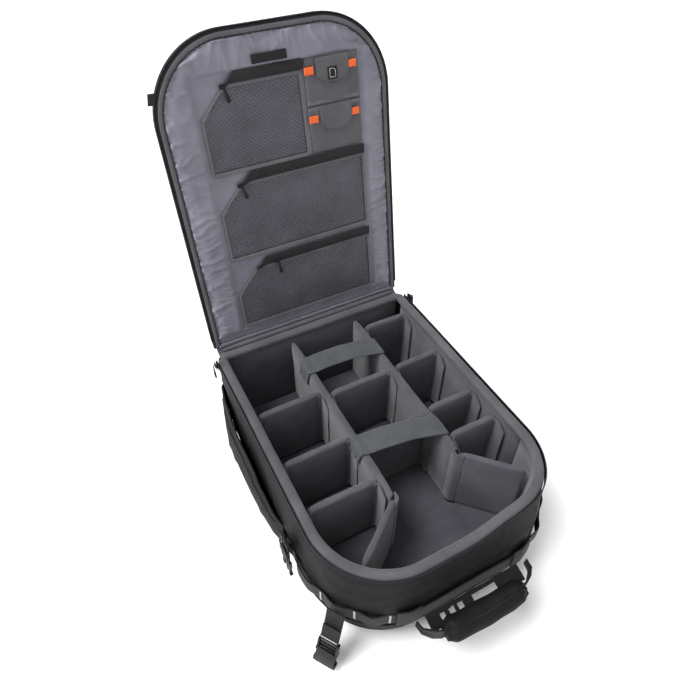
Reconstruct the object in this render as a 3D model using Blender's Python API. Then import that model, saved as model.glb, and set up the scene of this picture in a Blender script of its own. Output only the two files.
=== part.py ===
# A camera backpack that lies on its front pocket with its back panel opened as a lid.
# Metres, +Z up. The origin is the middle of the underside that the bag rests on.
# The lid's hinge is at the +Y end, and the grab handle is at the -Y end.
import math

import bmesh
import bpy
from mathutils import Vector

for thing in list(bpy.data.objects):
    bpy.data.objects.remove(thing)

# The body
RIM_LENGTH = 0.450
RIM_WIDTH = 0.344
BAG_HEIGHT = 0.185
HANDLE_END_RADIUS = 0.108
HINGE_END_RADIUS = 0.012
SHELL_THICKNESS = 0.002
PAD_THICKNESS = 0.010
BASE_THICKNESS = 0.010
PANEL_THICKNESS = 0.010
WALL_FULLNESS = 0.009
WALL_TUCK = 0.004
WALL_LEVELS = 6
BINDING_WIDTH = 0.014
BINDING_DEPTH = 0.009
POCKET_DEPTH = 0.022
POCKET_INSET = 0.008
POCKET_ROUNDING = 0.007
ZIP_TAPE_DEPTH = 0.018
ZIP_TAPE_THICKNESS = 0.0012
LID_TAPE_DEPTH = 0.010
FIT_GAP = 0.0004
PAD_GAP = 0.0016
LOOSE_GAP = 0.001
POCKET_GAP = 0.0016
SEWN_GAP = 0.0005
SIDE_STEPS = 6
CORNER_STEPS = 8
END_STEPS = 4

# The dividers
DIVIDER_THICKNESS = 0.009
DIVIDER_ROUNDING = 0.0025
DIVIDER_BELOW_RIM = 0.015
LEFT_DIVIDER_X = -0.045
RIGHT_DIVIDER_X = 0.072
LEFT_BEND_Y = -0.120
RIGHT_BEND_Y = -0.100
WING_CLEARANCE = 0.0057
LEFT_WING_ANGLE = 53.5
RIGHT_WING_ANGLE = 43.5
LEFT_CROSS_Y = (0.090, -0.005, -0.083)
CENTRE_CROSS_Y = (0.080, -0.020)
RIGHT_CROSS_Y = (0.183, 0.082, -0.014, -0.070)
BRIDGE_WIDTH = 0.036
BRIDGE_THICKNESS = 0.0018
BRIDGE_ARCH = 0.007
REAR_BRIDGE_Y = (0.146, 0.132)
FRONT_BRIDGE_Y = (-0.026, -0.050)

# The lid
LID_OPEN_ANGLE = 100.0
LID_THICKNESS = 0.012
LID_INSET = 0.003
LID_EDGE_WIDTH = 0.0055
LID_SEAT_GAP = 0.0012
HINGE_ROLL_RADIUS = 0.0042
HINGE_BEHIND_RIM = 0.005
HINGE_BELOW_RIM = 0.0028
LINING_THICKNESS = 0.0016
LINING_DEPTH = 0.0025
MESH_THICKNESS = 0.0016
POCKET_ZIP_WIDTH = 0.013
POCKET_ZIP_THICKNESS = 0.0022
POCKET_SLIDER_LENGTH = 0.024
POCKET_SLIDER_WIDTH = 0.007
POCKET_SLIDER_THICKNESS = 0.003
MESH_LEFT_MARGIN = 0.059
MESH_RIGHT_MARGIN = 0.050
MESH_CHAMFER = 0.028
CARD_LEFT = 0.039
POCKET_SPACE = 0.004
CARD_PANEL_THICKNESS = 0.0026
CARD_FLAP_THICKNESS = 0.0018
CARD_FLAP_WIDTH = 0.050
CARD_FLAP_STRAIGHT = 0.024
CARD_FLAP_ROUND = 0.012
CARD_FLAP_BELOW_TOP = 0.002
BACK_PAD_THICKNESS = 0.010
BACK_PAD_ROUNDING = 0.006
BACK_PAD_HALF_WIDTH = 0.110
BACK_PAD_BOTTOM = 0.045
BACK_PAD_TOP = 0.395
SHOULDER_STRAP_WIDTH = 0.058
SHOULDER_STRAP_THICKNESS = 0.012
SHOULDER_STRAP_TOP = 0.385
SHOULDER_STRAP_LENGTH = 0.335
SHOULDER_STRAP_X = 0.058
SHOULDER_STRAP_BOW = 0.045

# The straps, the handle and the sliders
WEBBING_THICKNESS = 0.0018
DAISY_WIDTH = 0.025
DAISY_HEIGHT = 0.092
DAISY_STAND = 0.0045
HANDLE_LENGTH = 0.122
HANDLE_RADIUS = 0.016
HANDLE_REACH = 0.0325
HANDLE_STAND = 0.0065
HANDLE_HEIGHT = 0.097
HANDLE_ANCHOR_X = 0.085
TAIL_WIDTH = 0.014
TAIL_THICKNESS = 0.0028
TAIL_START = 0.006
BUCKLE_WIDTH = 0.030
BUCKLE_LENGTH = 0.042
BUCKLE_THICKNESS = 0.010
BUCKLE_WALL = 0.0022
BUCKLE_MOUTH_DEPTH = 0.022
PRONG_WIDTH = 0.0065
STRAP_WIDTH = 0.025
CORNER_STRAP_LENGTH = 0.050
CORNER_STRAP_RISE = 0.004
CORNER_STRAP_LEAN = 21.0
CORNER_STRAP_TURN = 35.0
STRAP_STAND = 0.007
SIDE_STRAP_LENGTH = 0.045
SIDE_STRAP_BEFORE_CORNER = 0.029
SIDE_STRAP_HEIGHT = 0.134
SLIDER_LENGTH = 0.014
SLIDER_WIDTH = 0.009
SLIDER_THICKNESS = 0.005
PULL_LENGTH = 0.026
PULL_WIDTH = 0.006
PULL_THICKNESS = 0.0022
PULL_GAP = 0.0006
PULL_ABOVE_RIM = 0.002
SLIDER_ROUNDING = 0.0012
METAL_ROUNDING = 0.0008
SLIDER_FROM_CORNER = 0.006
SIDE_POCKET_DEPTH = 0.019
SIDE_POCKET_TOP = 0.128
SIDE_POCKET_RISE = 0.012

HINGE_END_Y = RIM_LENGTH / 2
HANDLE_END_Y = -RIM_LENGTH / 2
HALF_WIDTH = RIM_WIDTH / 2
MESH_LEFT = MESH_LEFT_MARGIN - HALF_WIDTH
MESH_RIGHT = HALF_WIDTH - MESH_RIGHT_MARGIN
SIDE_STRAP_Y = HANDLE_END_Y + HANDLE_END_RADIUS + SIDE_STRAP_BEFORE_CORNER
PANEL_BOTTOM = POCKET_DEPTH + FIT_GAP
PANEL_TOP = PANEL_BOTTOM + PANEL_THICKNESS
FLOOR_TOP = PANEL_TOP + FIT_GAP + BASE_THICKNESS
WALL_TOP = BAG_HEIGHT - BINDING_DEPTH - FIT_GAP
PAD_OUTSIDE = SHELL_THICKNESS + PAD_GAP
PAD_INSIDE = PAD_OUTSIDE + PAD_THICKNESS
DIVIDER_BOTTOM = FLOOR_TOP + FIT_GAP
DIVIDER_TOP = BAG_HEIGHT - DIVIDER_BELOW_RIM
INNER_HALF_WIDTH = HALF_WIDTH - PAD_INSIDE
HINGE_Y = HINGE_END_Y + HINGE_BEHIND_RIM
HINGE_Z = BAG_HEIGHT - HINGE_BELOW_RIM
LID_SEAT = HINGE_BELOW_RIM + LID_SEAT_GAP

NYLON = ("nylon", (0.024, 0.023, 0.025), 0.72)
FOAM_LINING = ("foam_lining", (0.085, 0.082, 0.095), 0.9)
RIM_FABRIC = ("rim_fabric", (0.115, 0.112, 0.122), 0.85)
ZIP_TAPE = ("zip_tape", (0.012, 0.012, 0.014), 0.6)
METAL = ("slider_metal", (0.05, 0.05, 0.055), 0.35)
WEBBING = ("webbing", (0.016, 0.016, 0.018), 0.65)
GREY_WEBBING = ("grey_webbing", (0.15, 0.16, 0.165), 0.7)
SATIN = ("satin_lining", (0.27, 0.265, 0.33), 0.45)
MESH = ("mesh_fabric", (0.06, 0.06, 0.065), 0.7)
POCKET_CLOTH = ("pocket_cloth", (0.11, 0.11, 0.115), 0.8)
BUCKLE = ("buckle_plastic", (0.02, 0.02, 0.022), 0.4)


def finish_of(kind):
    """The material of that finish, made when a piece first asks for it."""
    name, colour, roughness = kind
    if name in bpy.data.materials:
        return bpy.data.materials[name]
    material = bpy.data.materials.new(name)
    material.use_nodes = True
    shader = material.node_tree.nodes["Principled BSDF"]
    shader.inputs["Base Color"].default_value = (*colour, 1.0)
    shader.inputs["Roughness"].default_value = roughness
    shader.inputs["Metallic"].default_value = 0.6 if kind == METAL else 0.0
    return material


def keep(name, mesh, kind, parent=None, origin=(0.0, 0.0, 0.0)):
    """Make the finished bmesh an object, its own origin at the point given."""
    bmesh.ops.remove_doubles(mesh, verts=mesh.verts, dist=1e-5)
    bmesh.ops.recalc_face_normals(mesh, faces=mesh.faces)
    bmesh.ops.translate(mesh, verts=mesh.verts, vec=-Vector(origin))
    data = bpy.data.meshes.new(name)
    mesh.to_mesh(data)
    mesh.free()
    data.materials.append(finish_of(kind))
    piece = bpy.data.objects.new(name, data)
    bpy.context.collection.objects.link(piece)
    piece.location = origin
    piece.parent = parent
    return piece


def soften(piece, width, segments=2):
    """Round a piece's edges."""
    bevel = piece.modifiers.new("rounded", "BEVEL")
    bevel.width = width
    bevel.segments = segments
    bevel.limit_method = "ANGLE"
    bevel.angle_limit = math.radians(40)
    return piece


def plate(points, thickness):
    """A flat outline pushed along the thickness vector."""
    mesh = bmesh.new()
    face = mesh.faces.new([mesh.verts.new(point) for point in points])
    pushed = bmesh.ops.extrude_face_region(mesh, geom=[face])
    corners = [item for item in pushed["geom"] if isinstance(item, bmesh.types.BMVert)]
    bmesh.ops.translate(mesh, verts=corners, vec=thickness)
    return mesh


def block(low, high):
    """A box between two corners."""
    outline = ((low[0], low[1]), (high[0], low[1]), (high[0], high[1]), (low[0], high[1]))
    return plate([(x, y, low[2]) for x, y in outline], (0, 0, high[2] - low[2]))


def run_along(sections, closed=False):
    """One outline pushed from place to place: each section holds the same number of points."""
    mesh = bmesh.new()
    first = mesh.faces.new([mesh.verts.new(point) for point in sections[0]])
    cap = first
    later = sections[1:] + sections[:1] if closed else sections[1:]
    for section in later:
        pushed = bmesh.ops.extrude_face_region(mesh, geom=[cap])
        new_cap = next(item for item in pushed["geom"] if isinstance(item, bmesh.types.BMFace))
        for corner, point in zip(new_cap.verts, section):
            corner.co = point
        if cap is not first:
            bmesh.ops.delete(mesh, geom=[cap], context="FACES_ONLY")
        cap = new_cap
    if closed:
        bmesh.ops.delete(mesh, geom=[first, cap], context="FACES_ONLY")
    return mesh


def arc(centre, radius, start, end, steps):
    """Points and outward directions round a corner of the rim."""
    stations = []
    for step in range(steps + 1):
        turn = math.radians(start + (end - start) * step / steps)
        outward = Vector((math.cos(turn), math.sin(turn)))
        stations.append((Vector(centre) + outward * radius, outward))
    return stations


def rim_path():
    """Stations round the rim, down the left side from the hinge and back up the right side."""
    side_start = HINGE_END_Y - HINGE_END_RADIUS
    side_end = HANDLE_END_Y + HANDLE_END_RADIUS
    corner_x = HALF_WIDTH - HANDLE_END_RADIUS
    rear_x = HALF_WIDTH - HINGE_END_RADIUS
    steps = [side_start + (side_end - side_start) * i / SIDE_STEPS for i in range(SIDE_STEPS)]
    left = [(Vector((-HALF_WIDTH, y)), Vector((-1, 0))) for y in steps]
    left_corner = arc((-corner_x, side_end), HANDLE_END_RADIUS, 180, 270, CORNER_STEPS)
    across = [corner_x * (2 * i / END_STEPS - 1) for i in range(1, END_STEPS)]
    end = [(Vector((x, HANDLE_END_Y)), Vector((0, -1))) for x in across]
    right_corner = arc((corner_x, side_end), HANDLE_END_RADIUS, 270, 360, CORNER_STEPS)
    right = [(Vector((HALF_WIDTH, y)), Vector((1, 0))) for y in reversed(steps)]
    rear_right = arc((rear_x, side_start), HINGE_END_RADIUS, 0, 90, 2)[1:]
    rear_left = arc((-rear_x, side_start), HINGE_END_RADIUS, 90, 180, 2)[:-1]
    return left + left_corner + end + right_corner + right + rear_right + rear_left


PATH = rim_path()
LEFT_CORNER = SIDE_STEPS
RIGHT_CORNER = LEFT_CORNER + 2 * CORNER_STEPS + END_STEPS
PATH_END = RIGHT_CORNER + SIDE_STEPS


def curve_of_wall(level, ease):
    """How far the wall swells past the rim at one of its levels, most at mid height."""
    swell = WALL_FULLNESS * ease * math.sin(math.pi * (level / WALL_LEVELS) ** 0.8)
    return swell - (WALL_TUCK if level == 0 else 0.0)


def fullness(index, height):
    """The wall's swell at a station and height. It fades out towards the hinge end."""
    share = (height - PANEL_BOTTOM) / (WALL_TOP - PANEL_BOTTOM)
    level = min(max(share, 0.0), 1.0) * WALL_LEVELS
    below = min(int(level), WALL_LEVELS - 1)
    ease = min(max(min(index, PATH_END - index), 0) / 2, 1.0)
    low, high = curve_of_wall(below, ease), curve_of_wall(below + 1, ease)
    return low + (high - low) * (level - below)


def place(index, out, height):
    """The point that far outside the rim's edge at a station, at a height."""
    point, outward = PATH[index % len(PATH)]
    x, y = point + outward * out
    if out < 0.0:
        x = min(max(x, -HALF_WIDTH - out), HALF_WIDTH + out)
        y = min(y, HINGE_END_Y + out)
    return (x, y, height)


def wall_levels(low, high):
    """Both heights, and the wall's own levels between them, so that faces on a wall stay parallel."""
    rise = (WALL_TOP - PANEL_BOTTOM) / WALL_LEVELS
    own = [PANEL_BOTTOM + rise * step for step in range(WALL_LEVELS + 1)]
    return [low] + [z for z in own if low + LOOSE_GAP < z < high - LOOSE_GAP] + [high]


def wall_section(index, outer, inner, low, high, flat_inside=False):
    """An upright wall's outline: outer and inner are distances outside the shell's outer face."""
    heights = wall_levels(low, high)
    outside = [place(index, fullness(index, z) + outer, z) for z in heights]
    if flat_inside:
        inside = [place(index, inner, z) for z in (high, low)]
    else:
        inside = [place(index, fullness(index, z) + inner, z) for z in reversed(heights)]
    return outside + inside


def level_outline(inset, start=0, end=None):
    """The rim's outline, moved inwards."""
    return [place(index, -inset, 0.0)[:2] for index in range(start, end or len(PATH))]


def make_gusset_shell():
    sections = [
        wall_section(i, 0.0, -SHELL_THICKNESS, PANEL_BOTTOM, WALL_TOP) for i in range(len(PATH))
    ]
    keep("gusset_shell", run_along(sections, closed=True), NYLON)


def make_wall_pads():
    """Four foam pads in their own sleeves: two sides, the hinge end, and the handle end."""
    low = PANEL_TOP + FIT_GAP
    runs = {
        "wall_pad_left": range(LEFT_CORNER + 1),
        "wall_pad_right": range(RIGHT_CORNER, PATH_END + 1),
        "wall_pad_handle_end": range(LEFT_CORNER, RIGHT_CORNER + 1),
    }
    trim = FIT_GAP / 2
    for name, run in runs.items():
        sections = [
            wall_section(i, -PAD_OUTSIDE, -PAD_INSIDE, low, WALL_TOP, flat_inside=True) for i in run
        ]
        for section, shift in ((0, 1), (-1, -1)):
            station = run[section]
            along = PATH[station][1].orthogonal() * shift * trim
            sections[section] = [
                (x + along.x, y + along.y, z) for x, y, z in sections[section]
            ]
        keep(name, run_along(sections), FOAM_LINING)
    half = INNER_HALF_WIDTH - FIT_GAP
    back = HINGE_END_Y - PAD_OUTSIDE
    tuck = WALL_TUCK + FIT_GAP
    outline = [
        (-half, back - PAD_THICKNESS, low),
        (-half, back - tuck, low),
        (-half, back, low + 4 * tuck),
        (-half, back, WALL_TOP),
        (-half, back - PAD_THICKNESS, WALL_TOP),
    ]
    keep("wall_pad_hinge_end", plate(outline, (2 * half, 0, 0)), FOAM_LINING)


def make_base():
    """The padded floor, the stiff front panel under it, and the flat front pocket."""
    inset = PAD_INSIDE + LOOSE_GAP
    low = PANEL_TOP + FIT_GAP
    floor = plate([(x, y, low) for x, y in level_outline(inset)], (0, 0, BASE_THICKNESS))
    keep("base_pad", floor, FOAM_LINING)
    inset = WALL_TUCK + SHELL_THICKNESS + FIT_GAP
    panel = plate([(x, y, PANEL_BOTTOM) for x, y in level_outline(inset)], (0, 0, PANEL_THICKNESS))
    keep("front_panel", panel, NYLON)
    pocket = plate([(x, y, 0.0) for x, y in level_outline(POCKET_INSET)], (0, 0, POCKET_DEPTH))
    soften(keep("front_pocket", pocket, NYLON), POCKET_ROUNDING)


def make_rim():
    """The padded binding on the walls' top edge, and one half of the main zip outside it."""
    low = BAG_HEIGHT - BINDING_DEPTH
    round_edge = BINDING_DEPTH * 0.4
    profile = (
        (0.0, low),
        (0.0, BAG_HEIGHT - round_edge),
        (-round_edge, BAG_HEIGHT),
        (round_edge - BINDING_WIDTH, BAG_HEIGHT),
        (-BINDING_WIDTH, BAG_HEIGHT - round_edge),
        (-BINDING_WIDTH, low),
    )
    sections = [[place(i, out, z) for out, z in profile] for i in range(len(PATH))]
    keep("rim_binding", run_along(sections, closed=True), RIM_FABRIC)
    low = BAG_HEIGHT - ZIP_TAPE_DEPTH
    inner = 2 * FIT_GAP
    outer = inner + ZIP_TAPE_THICKNESS
    sections = [wall_section(i, outer, inner, low, BAG_HEIGHT) for i in range(PATH_END + 1)]
    keep("zip_chain_body", run_along(sections), ZIP_TAPE)


def make_side_pocket(name, first):
    """A gusseted pocket on the side wall. It is fullest in the middle and thins to its ends."""
    run = range(first, first + SIDE_STEPS)
    middle = (run[0] + run[-1]) / 2
    reach = (run[-1] - run[0]) / 2
    heights = wall_levels(PANEL_BOTTOM + SIDE_POCKET_RISE, SIDE_POCKET_TOP)
    sections = []
    for index in run:
        ease = math.sqrt(max(0.0, 1 - ((index - middle) / (reach + 0.3)) ** 2))
        outside = []
        for step, z in enumerate(heights):
            share = (step + 0.35) / len(heights)
            depth = SIDE_POCKET_DEPTH * ease * (0.2 + 0.8 * math.sin(math.pi * share) ** 0.6)
            outside.append(place(index, fullness(index, z) + POCKET_GAP + depth, z))
        inside = [place(index, fullness(index, z) + POCKET_GAP, z) for z in reversed(heights)]
        sections.append(outside + inside)
    keep(name, run_along(sections), NYLON)


def make_daisy_chain():
    """Webbing round the handle end, sewn down at bar tacks and standing clear between them."""
    first = LEFT_CORNER - 1
    last = RIGHT_CORNER + 1
    low = DAISY_HEIGHT - DAISY_WIDTH / 2
    sections = []
    for index in range(first, last + 1):
        sewn = (index - first) % 2 == 0
        stand = LOOSE_GAP + (0.0 if sewn else DAISY_STAND)
        inner = fullness(index, DAISY_HEIGHT) + FIT_GAP + stand
        outer = inner + WEBBING_THICKNESS
        high = low + DAISY_WIDTH
        profile = ((inner, low), (outer, low), (outer, high), (inner, high))
        sections.append([place(index, out, z) for out, z in profile])
    keep("daisy_chain", run_along(sections), WEBBING)


def make_handle():
    """The padded grip and the webbing tail at each end, which bend where they are sewn on."""
    wall = HANDLE_END_Y - WALL_FULLNESS
    pivot = empty("handle_pivot", (0.0, wall - HANDLE_STAND, HANDLE_HEIGHT))
    reach = -HANDLE_REACH
    sides = 10
    rounds = ((0.0, 0.55), (0.07, 0.88), (0.18, 1.0), (0.82, 1.0), (0.93, 0.88), (1.0, 0.55))
    sections = []
    for along, share in rounds:
        x = HANDLE_LENGTH * (along - 0.5)
        ring = []
        for side in range(sides):
            turn = 2 * math.pi * side / sides
            radius = HANDLE_RADIUS * share
            ring.append((x, reach + radius * math.cos(turn), radius * math.sin(turn)))
        sections.append(ring)
    keep("handle_grip", run_along(sections), NYLON, pivot)
    half = HANDLE_LENGTH / 2 + FIT_GAP
    for name, sign in (("handle_tail_left", -1), ("handle_tail_right", 1)):
        route = (
            (half, reach),
            ((half + HANDLE_ANCHOR_X) / 2, reach * 0.8),
            (HANDLE_ANCHOR_X, reach * 0.4),
            (HANDLE_ANCHOR_X, -TAIL_START),
        )
        outline = [(sign * x, y) for x, y in route]
        outline += [(sign * (x + TAIL_THICKNESS), y) for x, y in reversed(route)]
        points = [(x, y, -TAIL_WIDTH / 2) for x, y in outline]
        keep(name, plate(points, (0, 0, TAIL_WIDTH)), WEBBING, pivot)


def empty(name, location, parent=None, turn=None):
    """A joint's frame, which isn't a piece of the bag."""
    frame = bpy.data.objects.new(name, None)
    bpy.context.collection.objects.link(frame)
    frame.location = location
    frame.parent = parent
    if turn:
        frame.rotation_euler = turn
    return frame


def buckle_socket(name, parent, top):
    """The socket half of a side-release buckle: its mouth faces down."""
    half = BUCKLE_WIDTH / 2
    low = top - BUCKLE_LENGTH
    deep = BUCKLE_THICKNESS / 2
    neck = half * 0.87
    side = (
        (neck, top),
        (neck, top - BUCKLE_LENGTH * 0.28),
        (half, top - BUCKLE_LENGTH * 0.43),
        (half, low + BUCKLE_LENGTH * 0.24),
        (neck, low),
    )
    outline = side + tuple((-x, z) for x, z in reversed(side))
    shell = keep(name, plate([(x, -deep, z) for x, z in outline], (0, 2 * deep, 0)), BUCKLE, parent)
    mouth_half = neck - BUCKLE_WALL
    mouth_deep = deep - BUCKLE_WALL
    mouth_low = (-mouth_half, -mouth_deep, low - LOOSE_GAP)
    mouth = block(mouth_low, (mouth_half, mouth_deep, low + BUCKLE_MOUTH_DEPTH))
    cutter = keep(name + "_mouth", mouth, BUCKLE, parent)
    cutter.hide_render = True
    cutter.display_type = "WIRE"
    cut = shell.modifiers.new("mouth", "BOOLEAN")
    cut.operation = "DIFFERENCE"
    cut.solver = "EXACT"
    cut.object = cutter
    return shell


def buckle_prongs(name, parent, top):
    """The plug half of a side-release buckle: a bar and three prongs that point down."""
    half = BUCKLE_WIDTH * 0.45
    thick = BUCKLE_THICKNESS * 0.5
    bar_low = top - BUCKLE_LENGTH * 0.4
    low = top - BUCKLE_LENGTH
    spacing = half - PRONG_WIDTH / 2 - LOOSE_GAP
    edge = PRONG_WIDTH / 2
    outline = [(-half, top), (half, top), (half, bar_low)]
    for step in (1, 0, -1):
        middle = step * spacing
        reach = low if step == 0 else low + edge
        outline += [
            (middle + edge, bar_low),
            (middle + edge, reach + edge),
            (middle, reach),
            (middle - edge, reach + edge),
            (middle - edge, bar_low),
        ]
    outline.append((-half, bar_low))
    points = [(x, -thick / 2, z) for x, z in outline]
    return keep(name, plate(points, (0, thick, 0)), BUCKLE, parent)


def make_corner_strap():
    """Webbing sewn under the daisy chain at the left corner, with the socket buckle on its end."""
    corner_x = HALF_WIDTH - HANDLE_END_RADIUS
    radius = HANDLE_END_RADIUS + WALL_FULLNESS + DAISY_STAND + STRAP_STAND
    turn = math.radians(180 + CORNER_STRAP_TURN)
    top = (
        -corner_x + radius * math.cos(turn),
        HANDLE_END_Y + HANDLE_END_RADIUS + radius * math.sin(turn),
        DAISY_HEIGHT + CORNER_STRAP_RISE,
    )
    facing = math.radians(CORNER_STRAP_TURN - 90)
    pivot = empty("corner_strap_pivot", top, turn=(-math.radians(CORNER_STRAP_LEAN), 0, facing))
    half = STRAP_WIDTH / 2
    thick = WEBBING_THICKNESS
    web = block((-half, -thick / 2, -CORNER_STRAP_LENGTH), (half, thick / 2, 0.0))
    keep("corner_strap", web, WEBBING, pivot)
    joint = empty("corner_buckle_pivot", (0, 0, -CORNER_STRAP_LENGTH - LOOSE_GAP), pivot)
    buckle_socket("corner_buckle", joint, 0.0)


def make_side_strap():
    """The compression strap's stub on the left side, with the pronged buckle hanging from it."""
    x = -(HALF_WIDTH + WALL_FULLNESS + DAISY_STAND + STRAP_STAND)
    top = (x, SIDE_STRAP_Y, SIDE_STRAP_HEIGHT)
    pivot = empty("side_strap_pivot", top, turn=(0, 0, math.radians(-90)))
    half = STRAP_WIDTH / 2
    thick = WEBBING_THICKNESS
    web = block((-half, -thick / 2, -SIDE_STRAP_LENGTH), (half, thick / 2, 0.0))
    keep("side_strap", web, WEBBING, pivot)
    joint = empty("side_buckle_pivot", (0, 0, -SIDE_STRAP_LENGTH - LOOSE_GAP), pivot)
    buckle_prongs("side_buckle", joint, 0.0)


def make_main_sliders():
    """The two sliders of the main zip, parked by the hinge, each with its pull."""
    out = HALF_WIDTH + ZIP_TAPE_THICKNESS + 3 * LOOSE_GAP
    y = HINGE_END_Y - HINGE_END_RADIUS - SLIDER_FROM_CORNER
    for side, sign in (("left", -1), ("right", 1)):
        middle = sign * (out + SLIDER_THICKNESS / 2)
        low = (middle - SLIDER_THICKNESS / 2, y - SLIDER_LENGTH, BAG_HEIGHT - SLIDER_WIDTH / 2)
        high = (middle + SLIDER_THICKNESS / 2, y, BAG_HEIGHT + SLIDER_WIDTH / 2)
        slider = keep(f"main_slider_{side}", block(low, high), METAL, origin=(middle, y, BAG_HEIGHT))
        soften(slider, SLIDER_ROUNDING, 1)
        x = sign * (out + SLIDER_THICKNESS + PULL_GAP)
        beyond = x + sign * PULL_THICKNESS
        centre = y - SLIDER_LENGTH / 2
        top = BAG_HEIGHT + PULL_ABOVE_RIM
        low = (min(x, beyond), centre - PULL_WIDTH / 2, top - PULL_LENGTH)
        high = (max(x, beyond), centre + PULL_WIDTH / 2, top)
        pull = keep(f"main_pull_{side}", block(low, high), METAL, origin=(x, centre, top))
        soften(pull, METAL_ROUNDING, 1)


def wing_length(x, bend_y, turn):
    """How long a wing can be before it meets the pad at the handle end's corner."""
    corner_x = math.copysign(HALF_WIDTH - HANDLE_END_RADIUS, x)
    start = Vector((x - corner_x, bend_y - HANDLE_END_Y - HANDLE_END_RADIUS))
    along = Vector((math.sin(turn), -math.cos(turn)))
    radius = HANDLE_END_RADIUS - PAD_INSIDE
    middle = -start.dot(along)
    reach = middle + math.sqrt(middle ** 2 + radius ** 2 - start.length_squared)
    return reach - WING_CLEARANCE


def make_long_divider(side, x, bend_y, turn):
    """A long divider and the wing that folds from its end, stitched together at a crease."""
    rear = HINGE_END_Y - PAD_INSIDE - LOOSE_GAP
    half = DIVIDER_THICKNESS / 2
    crease = half + LOOSE_GAP
    wall = block((x - half, bend_y + crease, DIVIDER_BOTTOM), (x + half, rear, DIVIDER_TOP))
    soften(keep(f"divider_{side}", wall, FOAM_LINING), DIVIDER_ROUNDING, 1)
    pivot = empty(f"wing_{side}_pivot", (x, bend_y, 0.0), turn=(0, 0, turn))
    length = wing_length(x, bend_y, turn)
    wing = block((-half, -length, DIVIDER_BOTTOM), (half, 0.0, DIVIDER_TOP))
    soften(keep(f"divider_wing_{side}", wing, FOAM_LINING, pivot), DIVIDER_ROUNDING, 1)


def make_cross_dividers():
    """Short dividers held by hook tape between the long dividers and the walls."""
    half = DIVIDER_THICKNESS / 2
    columns = {
        "left": (-INNER_HALF_WIDTH + LOOSE_GAP, LEFT_DIVIDER_X - half - LOOSE_GAP, LEFT_CROSS_Y),
        "centre": (
            LEFT_DIVIDER_X + half + LOOSE_GAP,
            RIGHT_DIVIDER_X - half - LOOSE_GAP,
            CENTRE_CROSS_Y,
        ),
        "right": (RIGHT_DIVIDER_X + half + LOOSE_GAP, INNER_HALF_WIDTH - LOOSE_GAP, RIGHT_CROSS_Y),
    }
    for column, (left, right, places) in columns.items():
        for number, y in enumerate(places, 1):
            low = (left, y - half, DIVIDER_BOTTOM)
            high = (right, y + half, DIVIDER_TOP)
            piece = keep(f"cross_{column}_{number}", block(low, high), FOAM_LINING)
            soften(piece, DIVIDER_ROUNDING, 1)


def make_bridge(name, ends):
    """A webbing bridge sewn across the tops of the two long dividers, arched a little."""
    left = LEFT_DIVIDER_X - DIVIDER_THICKNESS / 2
    right = RIGHT_DIVIDER_X + DIVIDER_THICKNESS / 2
    steps = 8
    upper, lower = [], []
    for step in range(steps + 1):
        share = step / steps
        x = left + (right - left) * share
        lift = BRIDGE_ARCH * math.sin(math.pi * share)
        z = DIVIDER_TOP + FIT_GAP + lift
        y = ends[0] + (ends[1] - ends[0]) * share + BRIDGE_WIDTH / 2
        lower.append((x, y, z))
        upper.append((x, y, z + BRIDGE_THICKNESS))
    keep(name, plate(lower + upper[::-1], (0, -BRIDGE_WIDTH, 0)), GREY_WEBBING)


def lid_point(x, along, out):
    """A point in the closed lid: along is from the hinge to the free end, out is above its seat."""
    return (x, -along, LID_SEAT + out)


def lid_outline(inset, out):
    """The lid's outline, which is the rim's, cut clear of the hinge roll."""
    points = []
    for x, y in level_outline(inset + LID_INSET):
        along = max(HINGE_Y - y, HINGE_BEHIND_RIM + LOOSE_GAP + inset)
        points.append(lid_point(x, along, out))
    return points


def make_lid_panel(lid):
    """The foam back panel, its satin lining, the bound edge and the lid's half of the zip."""
    inset = LID_EDGE_WIDTH + FIT_GAP
    low = LINING_DEPTH + FIT_GAP
    panel = plate(lid_outline(inset, low), (0, 0, LID_THICKNESS - low - LOOSE_GAP))
    keep("lid_panel", panel, NYLON, lid)
    lining = plate(lid_outline(inset, LINING_DEPTH - LINING_THICKNESS), (0, 0, LINING_THICKNESS))
    keep("lid_lining", lining, SATIN, lid)
    outlines = [lid_outline(out, 0.0) for out in (0.0, LID_EDGE_WIDTH)]
    sections = []
    for outer, inner in zip(*outlines):
        base = Vector(outer)
        inside = Vector(inner)
        rise = Vector((0, 0, LID_THICKNESS))
        sections.append([base, base + rise, inside + rise, inside])
    keep("lid_binding", run_along(sections, closed=True), NYLON, lid)
    inner = FIT_GAP
    outer = FIT_GAP + ZIP_TAPE_THICKNESS
    profile = ((inner, 0.0), (outer, 0.0), (outer, LID_TAPE_DEPTH), (inner, LID_TAPE_DEPTH))
    sections = []
    for index in range(1, PATH_END):
        section = []
        for out, height in profile:
            x, y, _ = place(index, out - LID_INSET, 0.0)
            section.append(lid_point(x, HINGE_Y - y, height))
        sections.append(section)
    keep("zip_chain_lid", run_along(sections), ZIP_TAPE, lid)


# Each mesh pocket: its zip's two ends, the zip's height, and the pocket's bottom edge.
LID_POCKETS = (
    ("upper", -0.074, 0.034, 0.3955, 0.276, CARD_LEFT - POCKET_SPACE),
    ("middle", -0.068, MESH_RIGHT, 0.268, 0.144, MESH_RIGHT),
    ("lower", -0.072, MESH_RIGHT, 0.134, 0.014, MESH_RIGHT),
)
POCKET_FACE = LINING_DEPTH - LINING_THICKNESS - FIT_GAP


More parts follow.
